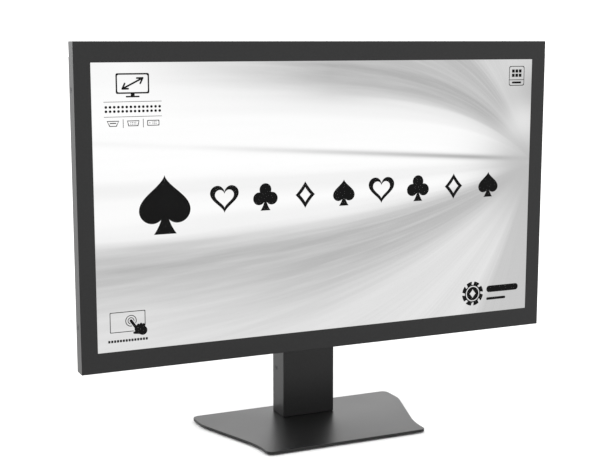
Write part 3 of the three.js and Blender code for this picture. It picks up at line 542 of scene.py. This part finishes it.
def stand_for(thing, node, rounding=FINE_EDGE):
    """Lets a new piece ride with a CAD node and be shown in its place."""
    add_detail(thing, node, rounding)
    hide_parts(node)


def facing(direction, origin):
    """The place at a point that turns +Z to a direction, with +Y as upright as it goes."""
    turn = Vector(direction).to_track_quat("Z", "Y").to_matrix().to_4x4()
    return Matrix.Translation(origin) @ turn


# --- turned bodies

def polygon(flat_radius, sides):
    """A regular polygon's radius by angle. flat_radius is from its centre to a flat."""
    share = TAU / sides
    return lambda angle: flat_radius / math.cos((angle + share / 2) % share - share / 2)


def cross(reach, half_width):
    """A plus sign's radius by angle."""
    def radius(angle):
        turn = abs((angle + TAU / 8) % (TAU / 4) - TAU / 8)
        if math.tan(turn) * reach <= half_width:
            return reach / math.cos(turn)
        return half_width / math.sin(turn)
    return radius


def chamfered(shape, radius):
    """A shape's radius by angle, kept inside a circle."""
    return lambda angle: min(shape(angle), radius)


def ring_points(shape, height, count):
    """Points round a ring. shape is a radius, or gives the radius by angle."""
    points = []
    for step in range(count):
        angle = TAU * step / count
        radius = shape(angle) if callable(shape) else shape
        points.append(Vector((radius * math.cos(angle), radius * math.sin(angle), height)))
    return points


def turned(name, rings, place, material, count=48, hollow=False):
    """A body skinned over (shape, height) rings: closed at both ends, or a hollow washer."""
    vertices, faces = [], []
    for shape, height in rings:
        vertices += ring_points(shape, height, count)
    levels = [(level, level + 1) for level in range(len(rings) - 1)]
    if hollow:
        levels.append((len(rings) - 1, 0))
    for lower, upper in levels:
        low, high = lower * count, upper * count
        for step in range(count):
            following = (step + 1) % count
            faces.append((low + step, low + following, high + following, high + step))
    if not hollow:
        for level, height in ((0, rings[0][1]), (len(rings) - 1, rings[-1][1])):
            centre = len(vertices)
            vertices.append(Vector((0, 0, height)))
            first = level * count
            faces += [(centre, first + step, first + (step + 1) % count) for step in range(count)]
    return mesh_object(name, [place @ v for v in vertices], faces, [material])


# --- flat outlines

def arc(x, y, radius, start=0.0, end=TAU, count=40, last=False):
    """Points along an arc of count steps, with or without its last point."""
    points = count + 1 if last else count
    angles = [start + (end - start) * step / count for step in range(points)]
    return [(x + radius * math.cos(a), y + radius * math.sin(a)) for a in angles]


def box_outline(x, y, width, height, corner=0.0):
    """A rectangle's outline, with round corners if they have a radius."""
    across, up = width / 2 - corner, height / 2 - corner
    if not corner:
        return [(x - across, y - up), (x + across, y - up), (x + across, y + up), (x - across, y + up)]
    points = []
    for quarter, (sx, sy) in enumerate(((1, 1), (-1, 1), (-1, -1), (1, -1))):
        start = quarter * TAU / 4
        points += arc(x + sx * across, y + sy * up, corner, start, start + TAU / 4, 5, last=True)
    return points


def slant_outline(x, y, width, height, slant):
    """A rectangle whose lower corners are drawn in: a D-socket's outline."""
    half, up = width / 2, height / 2
    return [(x - half, y + up), (x - half + slant, y - up), (x + half - slant, y - up), (x + half, y + up)]


def stroke(x1, y1, x2, y2, width):
    """The outline of a line with round ends."""
    turn = math.atan2(y2 - y1, x2 - x1)
    far_end = arc(x2, y2, width / 2, turn - TAU / 4, turn + TAU / 4, 10, last=True)
    near_end = arc(x1, y1, width / 2, turn + TAU / 4, turn + 3 * TAU / 4, 10, last=True)
    return far_end + near_end


def inked(*outlines):
    """Marks that put ink on what their outlines hold."""
    return [(outline, True) for outline in outlines]


def cleared(*outlines):
    """Marks that take the ink off what their outlines hold."""
    return [(outline, False) for outline in outlines]


def framed(shape, x, y, width, height, corner, line):
    """A hollow shape. shape draws its outline, and line is how wide its rim is."""
    inner = shape(x, y, width - 2 * line, height - 2 * line, corner)
    return inked(shape(x, y, width, height, corner)) + cleared(inner)


def in_metres(marks, x=0.0, y=0.0):
    """Marks that are drawn in millimetres, as metres from a point."""
    return [([(x + MM * px, y + MM * py) for px, py in outline], tone) for outline, tone in marks]


def inside(point, outline):
    """True if a point is inside a closed outline."""
    x, y = point
    odd = False
    for (x1, y1), (x2, y2) in zip(outline, outline[1:] + outline[:1]):
        if (y1 > y) != (y2 > y) and x < (x2 - x1) * (y - y1) / (y2 - y1) + x1:
            odd = not odd
    return odd


def reach_of(outline):
    """An outline's lowest and highest X and Y."""
    across, up = zip(*outline)
    return min(across), max(across), min(up), max(up)


def painted(marks, border=None):
    """Triangles that follow every mark: their points, corners and whether they are inked.

    Marks are (outline, inked) pairs. A later one covers the earlier ones.
    """
    outlines = [outline for outline, inked in marks] + ([border] if border else [])
    points, edges = [], []
    for outline in outlines:
        first = len(points)
        points += [Vector(p) for p in outline]
        edges += [(first + i, first + (i + 1) % len(outline)) for i in range(len(outline))]
    whole_hull, same_point = 0, 1e-7
    points, _, triangles, *_ = delaunay_2d_cdt(points, edges, [], whole_hull, same_point)
    ranges = [reach_of(outline) for outline, inked in marks]
    tones = []
    for triangle in triangles:
        x, y = (sum(points[i][axis] for i in triangle) / 3 for axis in (0, 1))
        tone = False
        for (outline, inked), (x1, x2, y1, y2) in zip(marks, ranges):
            if inked != tone and x1 < x < x2 and y1 < y < y2 and inside((x, y), outline):
                tone = inked
        tones.append(tone)
    return points, triangles, tones


def raised(name, marks, low, high, place, material):
    """The inked area of marks, raised from low to high along the place's Z axis."""
    points, triangles, tones = painted(marks)
    solid = [tuple(t) for t, inked in zip(triangles, tones) if inked]
    count = len(points)
    vertices = [place @ Vector((p[0], p[1], z)) for z in (low, high) for p in points]
    faces = solid + [tuple(i + count for i in t) for t in solid]
    uses = {}
    for t in solid:
        for a, b in zip(t, t[1:] + t[:1]):
            key = (min(a, b), max(a, b))
            uses[key] = uses.get(key, 0) + 1
    faces += [(a, b, b + count, a + count) for (a, b), used in uses.items() if used == 1]
    return mesh_object(name, vertices, faces, [material])


# --- the picture on the screen

# Everything drawn on the picture is in millimetres from what PICTURE_X and PICTURE_Z name.

def heart(x, y, height):
    """A heart, from a well-known curve that is 29 units high."""
    points = []
    for step in range(72):
        t = TAU * step / 72
        across = 16 * math.sin(t) ** 3
        up = 13 * math.cos(t) - 5 * math.cos(2 * t) - 2 * math.cos(3 * t) - math.cos(4 * t)
        points.append((x + across * height / 29, y + (up + 2.5) * height / 29))
    return points


def diamond(x, y, height):
    """A playing-card diamond, with slightly hollow sides."""
    hollow = 2.25
    points = []
    for step in range(64):
        c, s = math.cos(TAU * step / 64), math.sin(TAU * step / 64)
        across = math.copysign(abs(c) ** hollow, c) * 0.40 * height
        points.append((x + across, y + math.copysign(abs(s) ** hollow, s) * 0.5 * height))
    return points


def stem(x, y, height):
    """The flared foot under a spade or a club, in a symbol of that height."""
    foot, waist, bottom, top = 0.2 * height, 0.025 * height, -0.5 * height, 0.1 * height
    sides = []
    for step in range(9):
        share = step / 8
        sides.append((waist + (foot - waist) * (1 - share) ** 2.6, bottom + (top - bottom) * share))
    right = [(x + across, y + up) for across, up in sides]
    left = [(x - across, y + up) for across, up in reversed(sides)]
    return right + left


def spade(x, y, height):
    """A spade's outlines: a heart upside down, and a stem."""
    leaf = [(x + px, y + 0.09 * height - py) for px, py in heart(0, 0, 0.82 * height)]
    return [leaf, stem(x, y, height)]


def club(x, y, height):
    """A club's outlines: three lobes, a middle and a stem."""
    lobe = 0.235 * height
    lobes = [(0, 0.265), (-0.25, -0.06), (0.25, -0.06), (0, 0.05)]
    sizes = [lobe, lobe, lobe, 0.6 * lobe]
    discs = [arc(x + px * height, y + py * height, r) for (px, py), r in zip(lobes, sizes)]
    return [*discs, stem(x, y, height)]


def card_suits():
    """A large spade, then two full sets of the four suits in a row."""
    marks = inked(*spade(-183, 2.4, 60))
    first, pitch, y, height = -119, 45.6, 4.4, 28.5
    suits = (
        lambda x: inked(heart(x, y, height)) + cleared(heart(x, y + 0.4, 0.66 * height)),
        lambda x: inked(*club(x, y, height)),
        lambda x: inked(diamond(x, y, height)) + cleared(diamond(x, y, 0.56 * height)),
        lambda x: inked(*spade(x, y, height)),
    )
    for place in range(8):
        marks += suits[place % 4](first + pitch * place)
    return marks


def size_symbol(x, y):
    """A monitor's outline with an arrow from corner to corner."""
    marks = framed(box_outline, x, y, 34, 20, 1.6, 1.5)
    marks += inked(box_outline(x, y - 11.2, 4, 3), box_outline(x, y - 12.8, 14, 1.5, 0.7))
    tip = (10.5, 5.2)
    marks += inked(stroke(x - tip[0], y - tip[1], x + tip[0], y + tip[1], 1.7))
    for side in (-1, 1):
        end = (x + side * tip[0], y + side * tip[1])
        for back, down in ((6, 0.1), (2.6, 5.2)):
            marks += inked(stroke(*end, end[0] - side * back, end[1] - side * down, 1.7))
    return marks


def dot_rows(x, y, columns, rows, pitch, radius):
    """A block of round dots."""
    marks = []
    for column in range(columns):
        for row in range(rows):
            across = (column - (columns - 1) / 2) * pitch
            up = (row - (rows - 1) / 2) * pitch
            marks += inked(arc(x + across, y + up, radius, count=14))
    return marks


def socket_symbols(x, y):
    """Outlines of three video sockets, with a thin bar between each two."""
    pitch, wide, high, line = 20.5, 12.5, 5.6, 0.75
    left, right = x - pitch, x + pitch
    marks = framed(slant_outline, left, y, wide, high, 2.6, line)
    marks += framed(slant_outline, x, y, wide, high, 1.2, line)
    marks += framed(box_outline, right, y, wide, high, 0.6, line)
    marks += inked(*[box_outline(x + side * pitch / 2, y, 0.6, 8.5) for side in (-1, 1)])
    marks += inked(box_outline(left, y + 0.4, 6.5, 0.9), box_outline(right - 3.6, y, 1.2, 0.7))
    marks += dot_rows(x, y, 4, 2, 1.7, 0.45) + dot_rows(right + 1.2, y, 3, 2, 1.6, 0.45)
    return marks


def corner_badge(x, y):
    """A round-cornered plate with a block of squares over a bar."""
    marks = framed(box_outline, x, y, 20.5, 22, 2.2, 0.75)
    for column in (-1, 0, 1):
        for row in (0, 1):
            marks += inked(box_outline(x + 4.6 * column, y + 5.4 - 4.8 * row, 3.6, 3.6, 0.5))
    marks += inked(box_outline(x, y - 4.4, 20, 0.7), box_outline(x, y - 7.4, 12.5, 2.2, 1.0))
    return marks


def touch_symbol(x, y):
    """A screen's outline, with a hand whose finger makes rings on it."""
    marks = framed(box_outline, x, y, 37, 21, 0.8, 0.75)
    tip = (x + 3.4, y + 0.6)
    for radius in (5.9, 3.5):
        marks += inked(arc(*tip, radius)) + cleared(arc(*tip, radius - 0.8))
    # Finger, palm, thumb and three folded fingers, each from point to point with its width. Some
    # room is cleared round the first three.
    limbs = [
        (0, 0, 6.5, -9.5, 2.9), (8.2, -9.0, 12.2, -11.0, 9.5), (3.4, -12.6, 9.5, -13.2, 2.6),
        (7.6, -4.9, 8.4, -7.5, 2.6), (10.4, -4.3, 11.0, -7.0, 2.6), (13.1, -4.9, 13.6, -7.5, 2.6),
    ]
    placed = [(tip[0] + x1, tip[1] + y1, tip[0] + x2, tip[1] + y2, w) for x1, y1, x2, y2, w in limbs]
    marks += cleared(*[stroke(*limb[:4], limb[4] + 1.6) for limb in placed[:3]])
    marks += inked(*[stroke(*limb) for limb in placed])
    for column in range(14):
        marks += inked(box_outline(x - 19.5 + 3 * column, y - 19.2, 2.2, 2.6, 0.6))
    return marks


def chip_symbol(x, y):
    """A gaming chip, and two plain bars beside it."""
    radius, notches = 14.0, 8
    marks = inked(arc(x, y, radius, count=64))
    for notch in range(notches):
        middle = TAU * notch / notches
        half = math.radians(9)
        rim = arc(x, y, radius + 0.5, middle - half, middle + half, 4)
        hub = arc(x, y, 0.74 * radius, middle + half, middle - half, 4)
        marks += cleared(rim + hub)
    marks += cleared(arc(x, y, 0.64 * radius)) + inked(arc(x, y, 0.56 * radius))
    marks += cleared(diamond(x, y, 0.72 * radius))
    marks += inked(box_outline(x + 40, y + 3.6, 43, 7.6, 3.6), box_outline(x + 31.5, y - 7.6, 26, 3, 1.4))
    return marks


def picture_marks():
    """Every mark on the picture."""
    left = -214
    return [
        *size_symbol(left, 123.5),
        *inked(box_outline(left, 105.8, 59, 0.5)),
        *dot_rows(left, 98.6, 14, 2, 4.2, 1.35),
        *inked(box_outline(left, 91.2, 59, 0.5)),
        *socket_symbols(left, 84.6),
        *corner_badge(235, 125.5),
        *card_suits(),
        *touch_symbol(-224.2, -113.8),
        *chip_symbol(183, -120.5),
    ]


def make_picture():
    """The display cell: a thin sandwich whose front face is the lit picture."""
    marks = in_metres(picture_marks(), PICTURE_X, PICTURE_Z)
    x1, z1, x2, z2 = CELL_LOW.x, CELL_LOW.z, CELL_HIGH.x, CELL_HIGH.z
    border = [(x1, z1), (x2, z1), (x2, z2), (x1, z2)]
    points, triangles, tones = painted(marks, border)
    vertices = [(p[0], CELL_LOW.y, p[1]) for p in points]
    faces = [tuple(t) for t in triangles]
    materials = [int(has_ink) for has_ink in tones]
    nearest = [min(range(len(points)), key=lambda i: (points[i] - Vector(c)).length) for c in border]
    back = [len(vertices) + corner for corner in range(4)]
    vertices += [(x, CELL_HIGH.y, z) for x, z in border]
    faces.append(tuple(back))
    for side in range(4):
        following = (side + 1) % 4
        faces.append((nearest[side], nearest[following], back[following], back[side]))
    materials += [2] * 5  # the back and the four sides
    picture = mesh_object("screen_picture", vertices, faces, [WALLPAPER, INK, DARK_FILM], materials)
    stand_for(picture, "lcd_cell", rounding=None)


# --- fasteners

def screw_measures(node, outward):
    """Where a screw's head ends, its length and its head's radius."""
    low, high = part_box(node)
    half = (high - low) / 2
    along = abs(half.dot(outward))
    across = max(h for h, axis in zip(half, outward) if abs(axis) < 0.5)
    return (low + high) / 2 + outward * along, 2 * along, across


def cross_recess(radius, depth):
    """Rings that sink a cross into the middle of a head of that radius."""
    rim, floor = cross(0.54 * radius, 0.15 * radius), cross(0.4 * radius, 0.09 * radius)
    return [(0.6 * radius, 0), (rim, 0), (floor, -depth)]


def machine_screw(node, outward, head, shank, style, material):
    """A screw with a cross recess. shank is a radius."""
    top, length, radius = screw_measures(node, outward)
    point = 0.4 * MM
    rings = [(shank - point, -length), (shank, point - length), (shank, -head)]
    if style == "domed":
        rings += [(radius, -head), (radius, -0.5 * head), (0.94 * radius, -0.25 * head)]
        rings += [(0.8 * radius, -0.07 * head)]
    elif style == "coned":
        rings += [(radius, -0.1 * head), (radius - 0.05 * MM, 0)]
    else:
        rings += [(radius, -head), (radius, -0.15 * MM), (radius - 0.15 * MM, 0)]
    rings += cross_recess(radius, 0.65 * head)
    screw = turned(f"{node}_detailed", rings, facing(outward, top), material)
    stand_for(screw, node, 0.03 * MM)


def make_screws():
    """Every screw, at its own head height and shank radius."""
    for side, outward in (("left", LEFT), ("right", RIGHT)):
        for node in (f"frame_screw_{side}_lower", f"frame_screw_{side}_upper", f"sleeve_screw_{side}"):
            machine_screw(node, outward, 0.9 * MM, 1.25 * MM, "flat", BLACK_OXIDE)
        machine_screw(f"base_screw_{side}", DOWN, 2.5 * MM, 2.5 * MM, "coned", ZINC)
    for number in (1, 2, 3, 4):
        machine_screw(f"cover_screw_{number}", REAR, 1.8 * MM, 1.4 * MM, "domed", BLACK_OXIDE)
        machine_screw(f"mount_screw_{number}", REAR, 2.4 * MM, 1.9 * MM, "domed", ZINC)


BOLT_RADIUS = 4.0 * MM
BOLT_HEAD = 5.3 * MM
HEX_CORNER = 7.5 * MM
HEX_FLAT = HEX_CORNER * math.cos(TAU / 12)
HEX = polygon(HEX_FLAT, 6)
HEX_CHAMFER = chamfered(HEX, 1.02 * HEX_FLAT)
HEX_BEVEL = 0.6 * MM
HINGE_AXIS = middle("tilt_bolt")


def hinge_piece(node, rings, direction, material, hollow=True):
    """Shows a turned piece on the hinge's axis, at the left end of a CAD node, in its place."""
    place = facing(direction, Vector((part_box(node)[0].x, HINGE_AXIS.y, HINGE_AXIS.z)))
    piece = turned(f"{node}_detailed", rings, place, material, count=72, hollow=hollow)
    stand_for(piece, node, 0.05 * MM)


def thread_rings(end, pitch, turns):
    """Crests and roots of a thread, from a bolt's end inwards."""
    root, crest = BOLT_RADIUS - 0.35 * MM, BOLT_RADIUS
    rings = [(BOLT_RADIUS - 0.8 * MM, end), (BOLT_RADIUS - 0.3 * MM, end + 0.3 * MM)]
    start = end + 0.4 * MM
    for turn in range(turns):
        rings += [(crest, start + (turn + 0.3) * pitch), (crest, start + (turn + 0.5) * pitch)]
        rings += [(root, start + (turn + 1) * pitch)]
    return rings


def make_tilt_bolt():
    """A hexagon-headed bolt. Its thread only shows beyond the nut."""
    low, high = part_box("tilt_bolt")
    length = high.x - low.x
    rings = thread_rings(-length, 1.0 * MM, 8)
    rings += [(BOLT_RADIUS, 12 * MM - length), (BOLT_RADIUS, -BOLT_HEAD)]
    rings += [(HEX, -BOLT_HEAD), (HEX, -HEX_BEVEL), (HEX_CHAMFER, 0)]
    rings += [(0.62 * HEX_FLAT, 0), (0.56 * HEX_FLAT, -0.3 * MM)]
    hinge_piece("tilt_bolt", rings, LEFT, ZINC, hollow=False)


def make_tilt_nut():
    """A hexagon nut, with its bore eased at both ends."""
    low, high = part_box("tilt_nut")
    height = high.x - low.x
    bore, ease = BOLT_RADIUS + 0.15 * MM, 0.5 * MM
    rings = [(bore + ease, 0), (HEX_CHAMFER, 0), (HEX, HEX_BEVEL), (HEX, height - HEX_BEVEL)]
    rings += [(HEX_CHAMFER, height), (bore + ease, height), (bore, height - ease), (bore, ease)]
    hinge_piece("tilt_nut", rings, RIGHT, ZINC)


def make_friction_washer(node):
    """A turned disc with a bore and a chamfered rim."""
    low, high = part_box(node)
    thickness, radius, edge = high.x - low.x, extent(node).z / 2, 0.25 * MM
    bore = BOLT_RADIUS + 0.4 * MM
    rings = [(bore, 0), (radius - edge, 0), (radius, edge), (radius, thickness - edge)]
    rings += [(radius - edge, thickness), (bore, thickness)]
    hinge_piece(node, rings, RIGHT, BRASS)


# --- buttons and feet

POWER_GAP = (math.radians(125), math.radians(415))  # the ends of the power sign's ring
BUTTON_SYMBOLS = {
    "power": [
        *inked(arc(0, -0.1, 1.7, *POWER_GAP, 28) + arc(0, -0.1, 1.3, *reversed(POWER_GAP), 28)),
        *inked(stroke(0, 0.5, 0, 1.8, 0.4)),
    ],
    "menu": inked(*[stroke(-1.4, y, 1.4, y, 0.45) for y in (-1.1, 0, 1.1)]),
    "plus": inked(stroke(-1.5, 0, 1.5, 0, 0.5), stroke(0, -1.5, 0, 1.5, 0.5)),
    "minus": inked(stroke(-1.5, 0, 1.5, 0, 0.5)),
    "source": [
        *inked(box_outline(0.3, 0, 3.2, 2.6, 0.3)),
        *cleared(box_outline(0.3, 0, 2.5, 1.9, 0.2)),
        *cleared(box_outline(-1.3, 0, 1.2, 1.4)),
        *inked([(-2, -0.2), (-0.2, -0.2), (-0.2, -0.8), (0.8, 0), (-0.2, 0.8), (-0.2, 0.2), (-2, 0.2)]),
    ],
}


def make_button(name):
    """A round button with a dished cap, a collar that holds it in and a stem."""
    node = f"{name}_button"
    low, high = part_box(node)
    place = facing(REAR, Vector((middle(node).x, high.y, middle(node).z)))
    length, collar = high.y - low.y, extent(node).x / 2
    cap, stem_radius, collar_top, dish = 4.0 * MM, 2.0 * MM, -3.1 * MM, -0.15 * MM
    collar_foot = collar_top - 1 * MM
    rings = [(stem_radius, -length), (stem_radius, collar_foot), (collar, collar_foot)]
    rings += [(collar, collar_top), (cap, collar_top), (cap, -0.55 * MM), (cap - 0.12 * MM, -0.25 * MM)]
    rings += [(cap - 0.4 * MM, -0.06 * MM), (cap - 0.75 * MM, 0), (cap - 1.1 * MM, -0.05 * MM)]
    rings += [(cap - 1.5 * MM, dish)]
    stand_for(turned(f"{node}_detailed", rings, place, BLACK_PLASTIC), node, None)
    marks = in_metres(BUTTON_SYMBOLS[name])
    symbol = raised(f"{name}_symbol", marks, dish - 0.1 * MM, dish + 0.08 * MM, place, LEGEND)
    add_detail(symbol, node, None)


def make_foot(node):
    """A stick-on foot with two grooves moulded into its sole."""
    low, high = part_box(node)
    radius, height, groove = extent(node).x / 2, high.z - low.z, 0.4 * MM
    rings = [(1.8 * MM, groove), (2.2 * MM, 0)]
    for inner in (0.42 * radius, 0.66 * radius):
        rings += [(inner, 0), (inner + 0.3 * MM, groove), (inner + 1.0 * MM, groove)]
        rings += [(inner + 1.3 * MM, 0)]
    rings += [(radius - 0.6 * MM, 0), (radius - 0.2 * MM, 0.15 * MM), (radius, 0.5 * MM)]
    rings += [(radius, height - 0.2 * MM), (radius - 0.2 * MM, height)]
    place = Matrix.Translation((*middle(node).xy, low.z))
    stand_for(turned(f"{node}_ribbed", rings, place, RUBBER, count=64), node, None)


# --- sockets

# The sockets open downwards, and their outlines are drawn in X and Y.
SHELL = 0.45 * MM


def cut_corner_box(node, inset, cut):
    """A node's own outline, drawn in all round, with its two front corners cut off."""
    x, y = middle(node).xy
    half, deep = extent(node).x / 2 - inset, extent(node).y / 2 - inset
    return [
        (x - half, y + deep), (x - half, y - deep + cut), (x - half + cut, y - deep),
        (x + half - cut, y - deep), (x + half, y - deep + cut), (x + half, y + deep),
    ]


def socket_piece(node, part, marks, low, high, material, rounding=FINE_EDGE, settle=add_detail):
    """One upright piece of a socket. For one of them, settle is stand_for."""
    settle(raised(f"{node}_{part}", marks, low, high, Matrix.Identity(4), material), node, rounding)


def contact_rows(node, pitch, count, width, off, depth, low, high):
    """A row of gold contacts on either side of a socket's tongue."""
    x, y = middle(node).xy
    for side, name in ((-1, "front"), (1, "rear")):
        places = [(x + (step - (count - 1) / 2) * pitch, y + side * off) for step in range(count)]
        marks = inked(*[box_outline(*place, width, depth) for place in places])
        socket_piece(node, f"contacts_{name}", marks, low, high, GOLD, None)


def round_socket(node, side, ferrule, bore, pin):
    """A square block with a ring round its bore. A pin with no radius is left out."""
    low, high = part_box(node)
    x, y = middle(node).xy
    block = inked(box_outline(x, y, side, side, 0.4 * MM)) + cleared(arc(x, y, bore))
    socket_piece(node, "block", block, low.z + 2.1 * MM, high.z, BLACK_PLASTIC, settle=stand_for)
    edge = 0.3 * MM
    rings = [(bore, 0), (bore + edge, -edge), (ferrule - edge, -edge), (ferrule, 0)]
    rings += [(ferrule, 3 * MM), (bore, 3 * MM)]
    place = Matrix.Translation((x, y, low.z + edge))
    ring = turned(f"{node}_ring", rings, place, BLACK_PLASTIC if pin else NICKEL, hollow=True)
    add_detail(ring, node, None)
    floor = inked(arc(x, y, bore + 0.2 * MM))
    socket_piece(node, "floor", floor, high.z - 1.5 * MM, high.z - 0.1 * MM, BLACK_PLASTIC, None)
    if pin:
        rings = [(0.6 * pin, 0), (pin, 0.5 * MM), (pin, high.z - low.z - 2.5 * MM)]
        place = Matrix.Translation((x, y, low.z + 1.2 * MM))
        add_detail(turned(f"{node}_pin", rings, place, NICKEL, count=32), node, None)


def usb_socket(node):
    """A deep socket with a lined shell, and two contacts on each side of its tongue."""
    low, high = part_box(node)
    outer = inked(cut_corner_box(node, 0, 2.6 * MM))
    wall = cut_corner_box(node, SHELL, 2.3 * MM)
    mouth = cut_corner_box(node, 1.5 * MM, 1.6 * MM)
    liner = inked(wall) + cleared(mouth)
    tongue = inked(box_outline(*middle(node).xy, 5.6 * MM, 3.2 * MM, 0.3 * MM))
    socket_piece(node, "shell", outer + cleared(wall), low.z, high.z, NICKEL, settle=stand_for)
    socket_piece(node, "liner", liner, low.z + 0.6 * MM, high.z - 0.2 * MM, WHITE_PLASTIC)
    socket_piece(node, "back", inked(mouth), high.z - 1.5 * MM, high.z - 0.3 * MM, WHITE_PLASTIC, None)
    socket_piece(node, "tongue", tongue, low.z + 1.2 * MM, high.z - 1 * MM, WHITE_PLASTIC)
    contact_rows(node, 2.5 * MM, 2, 1.0 * MM, 1.62 * MM, 0.15 * MM, low.z + 2 * MM, high.z - 2 * MM)


def hdmi_socket(node):
    """A flat socket, with ten contacts on each side of its tongue."""
    low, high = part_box(node)
    outer = inked(cut_corner_box(node, 0, 1.9 * MM))
    wall = cut_corner_box(node, SHELL, 1.7 * MM)
    tongue = inked(box_outline(*middle(node).xy, 10.5 * MM, 1.2 * MM, 0.2 * MM))
    socket_piece(node, "shell", outer + cleared(wall), low.z, high.z, NICKEL, settle=stand_for)
    socket_piece(node, "back", inked(wall), high.z - 1.6 * MM, high.z - 0.2 * MM, BLACK_PLASTIC, None)
    socket_piece(node, "tongue", tongue, low.z + 1 * MM, high.z - 1 * MM, BLACK_PLASTIC)
    contact_rows(node, 1 * MM, 10, 0.45 * MM, 0.62 * MM, 0.12 * MM, low.z + 1.4 * MM, high.z - 2 * MM)


def d_socket(node, shell_width, shell_depth, insert, pin_marks):
    """A video socket: a D-shaped shell round a pin block, between two hexagonal posts."""
    low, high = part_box(node)
    x, y = middle(node).xy
    wide, deep = extent(node).xy
    flange_low = low.z + 6.6 * MM
    flange_high = flange_low + 1.0 * MM
    slant, lip = 1.2 * MM, 0.9 * MM
    plate = inked(box_outline(x, y, wide, deep, 1.2 * MM))
    socket_piece(node, "flange", plate, flange_low, flange_high, NICKEL, settle=stand_for)
    body = inked(box_outline(x, y, wide - 1 * MM, deep - 1 * MM, 0.6 * MM))
    socket_piece(node, "body", body, flange_high, high.z, insert)
    shell = framed(slant_outline, x, y, shell_width, shell_depth, slant, SHELL)
    socket_piece(node, "shell", shell, low.z, flange_low, NICKEL)
    block = inked(slant_outline(x, y, shell_width - 2 * lip, shell_depth - 2 * lip, slant))
    socket_piece(node, "pin_block", block + pin_marks(x, y), low.z + 0.8 * MM, flange_low, insert, None)
    for side, name in ((-1, "left"), (1, "right")):
        post_x = x + side * (wide / 2 - 3.2 * MM)
        post = inked(arc(post_x, y, 2.6 * MM, count=6)) + cleared(arc(post_x, y, 1.4 * MM, count=24))
        socket_piece(node, f"post_{name}", post, low.z + 0.5 * MM, flange_low, ZINC, 0.12 * MM)


def round_pin_holes(x, y):
    """Three staggered rows of five round holes."""
    marks = []
    for row in (-1, 0, 1):
        for column in range(5):
            across = (column - 2) * 2.3 * MM + row * 0.55 * MM
            marks += cleared(arc(x + across, y + row * 1.9 * MM, 0.5 * MM, count=12))
    return marks


def square_pin_holes(x, y):
    """Three rows of eight square holes, and a cross-shaped slot beside them."""
    marks = []
    for row in (-1, 0, 1):
        for column in range(8):
            across = x - 7.9 * MM + column * 1.9 * MM
            marks += cleared(box_outline(across, y + row * 1.8 * MM, 0.9 * MM, 0.9 * MM))
    slot = x + 8.3 * MM
    marks += cleared(box_outline(slot, y, 3.6 * MM, 0.6 * MM), box_outline(slot, y, 0.6 * MM, 4.2 * MM))
    return marks


def make_sockets():
    """Every socket, from the power inlet to the video sockets."""
    round_socket("power_socket", 10 * MM, 4 * MM, 3.1 * MM, 1 * MM)
    round_socket("audio_socket", 8 * MM, 3.2 * MM, 1.8 * MM, 0)
    usb_socket("usb_socket")
    hdmi_socket("hdmi_socket")
    d_socket("vga_socket", 16.4 * MM, 8 * MM, BLUE_PLASTIC, round_pin_holes)
    d_socket("dvi_socket", 24 * MM, 8 * MM, WHITE_PLASTIC, square_pin_holes)


# --- CAD nodes that stay

# Every CAD node that stays, by its finish and the rounding of its edges in millimetres.
CAD_FINISHES = (
    (BLACK_COAT, 0.25, ("front_frame", "rear_chassis", "electronics_cover", "tilt_plate")),
    (BASE_COAT, 0.40, ("base_plate",)),
    (BLACK_COAT, 0.30, ("column_sleeve",)),
    (BLACK_PLASTIC, 0.40, ("column_cap",)),
    (ZINC, 0.30, ("column_core",)),
    (ZINC, 0.20, ("backlight_tray",)),
    (GLASS, 0.15, ("touch_glass",)),
    (FOAM, 0.05, ("bezel_gasket", "bonding_gasket")),
    (BLACK_PLASTIC, 0.30, ("panel_frame",)),
    (ACRYLIC, 0.15, ("light_guide",)),
    (WHITE_PLASTIC, 0.05, ("diffuser_sheets", "reflector_sheet", "led_strip")),
    (BOARD, 0.12, ("main_board", "led_driver_board", "touch_controller_board", "key_board")),
    (WHITE_RIBBON, 0.03, ("panel_cable",)),
    (AMBER_RIBBON, 0.03, ("touch_cable",)),
)


def finish_cad_nodes():
    """Gives each CAD node its finish, without touching its mesh."""
    for material, rounding, names in CAD_FINISHES:
        for name in names:
            node = frame["nodes"][name]
            node.data.materials.clear()
            node.data.materials.append(material)
            round_edges(node, rounding * MM, segments=3, clamp=False)


make_camera()
make_studio()
finish_cad_nodes()
make_picture()
make_screws()
make_tilt_bolt()
make_tilt_nut()
for side in ("left", "right"):
    make_friction_washer(f"friction_washer_{side}")
for button in BUTTON_SYMBOLS:
    make_button(button)
for end in ("front", "rear"):
    for side in ("left", "right"):
        make_foot(f"foot_{end}_{side}")
make_sockets()
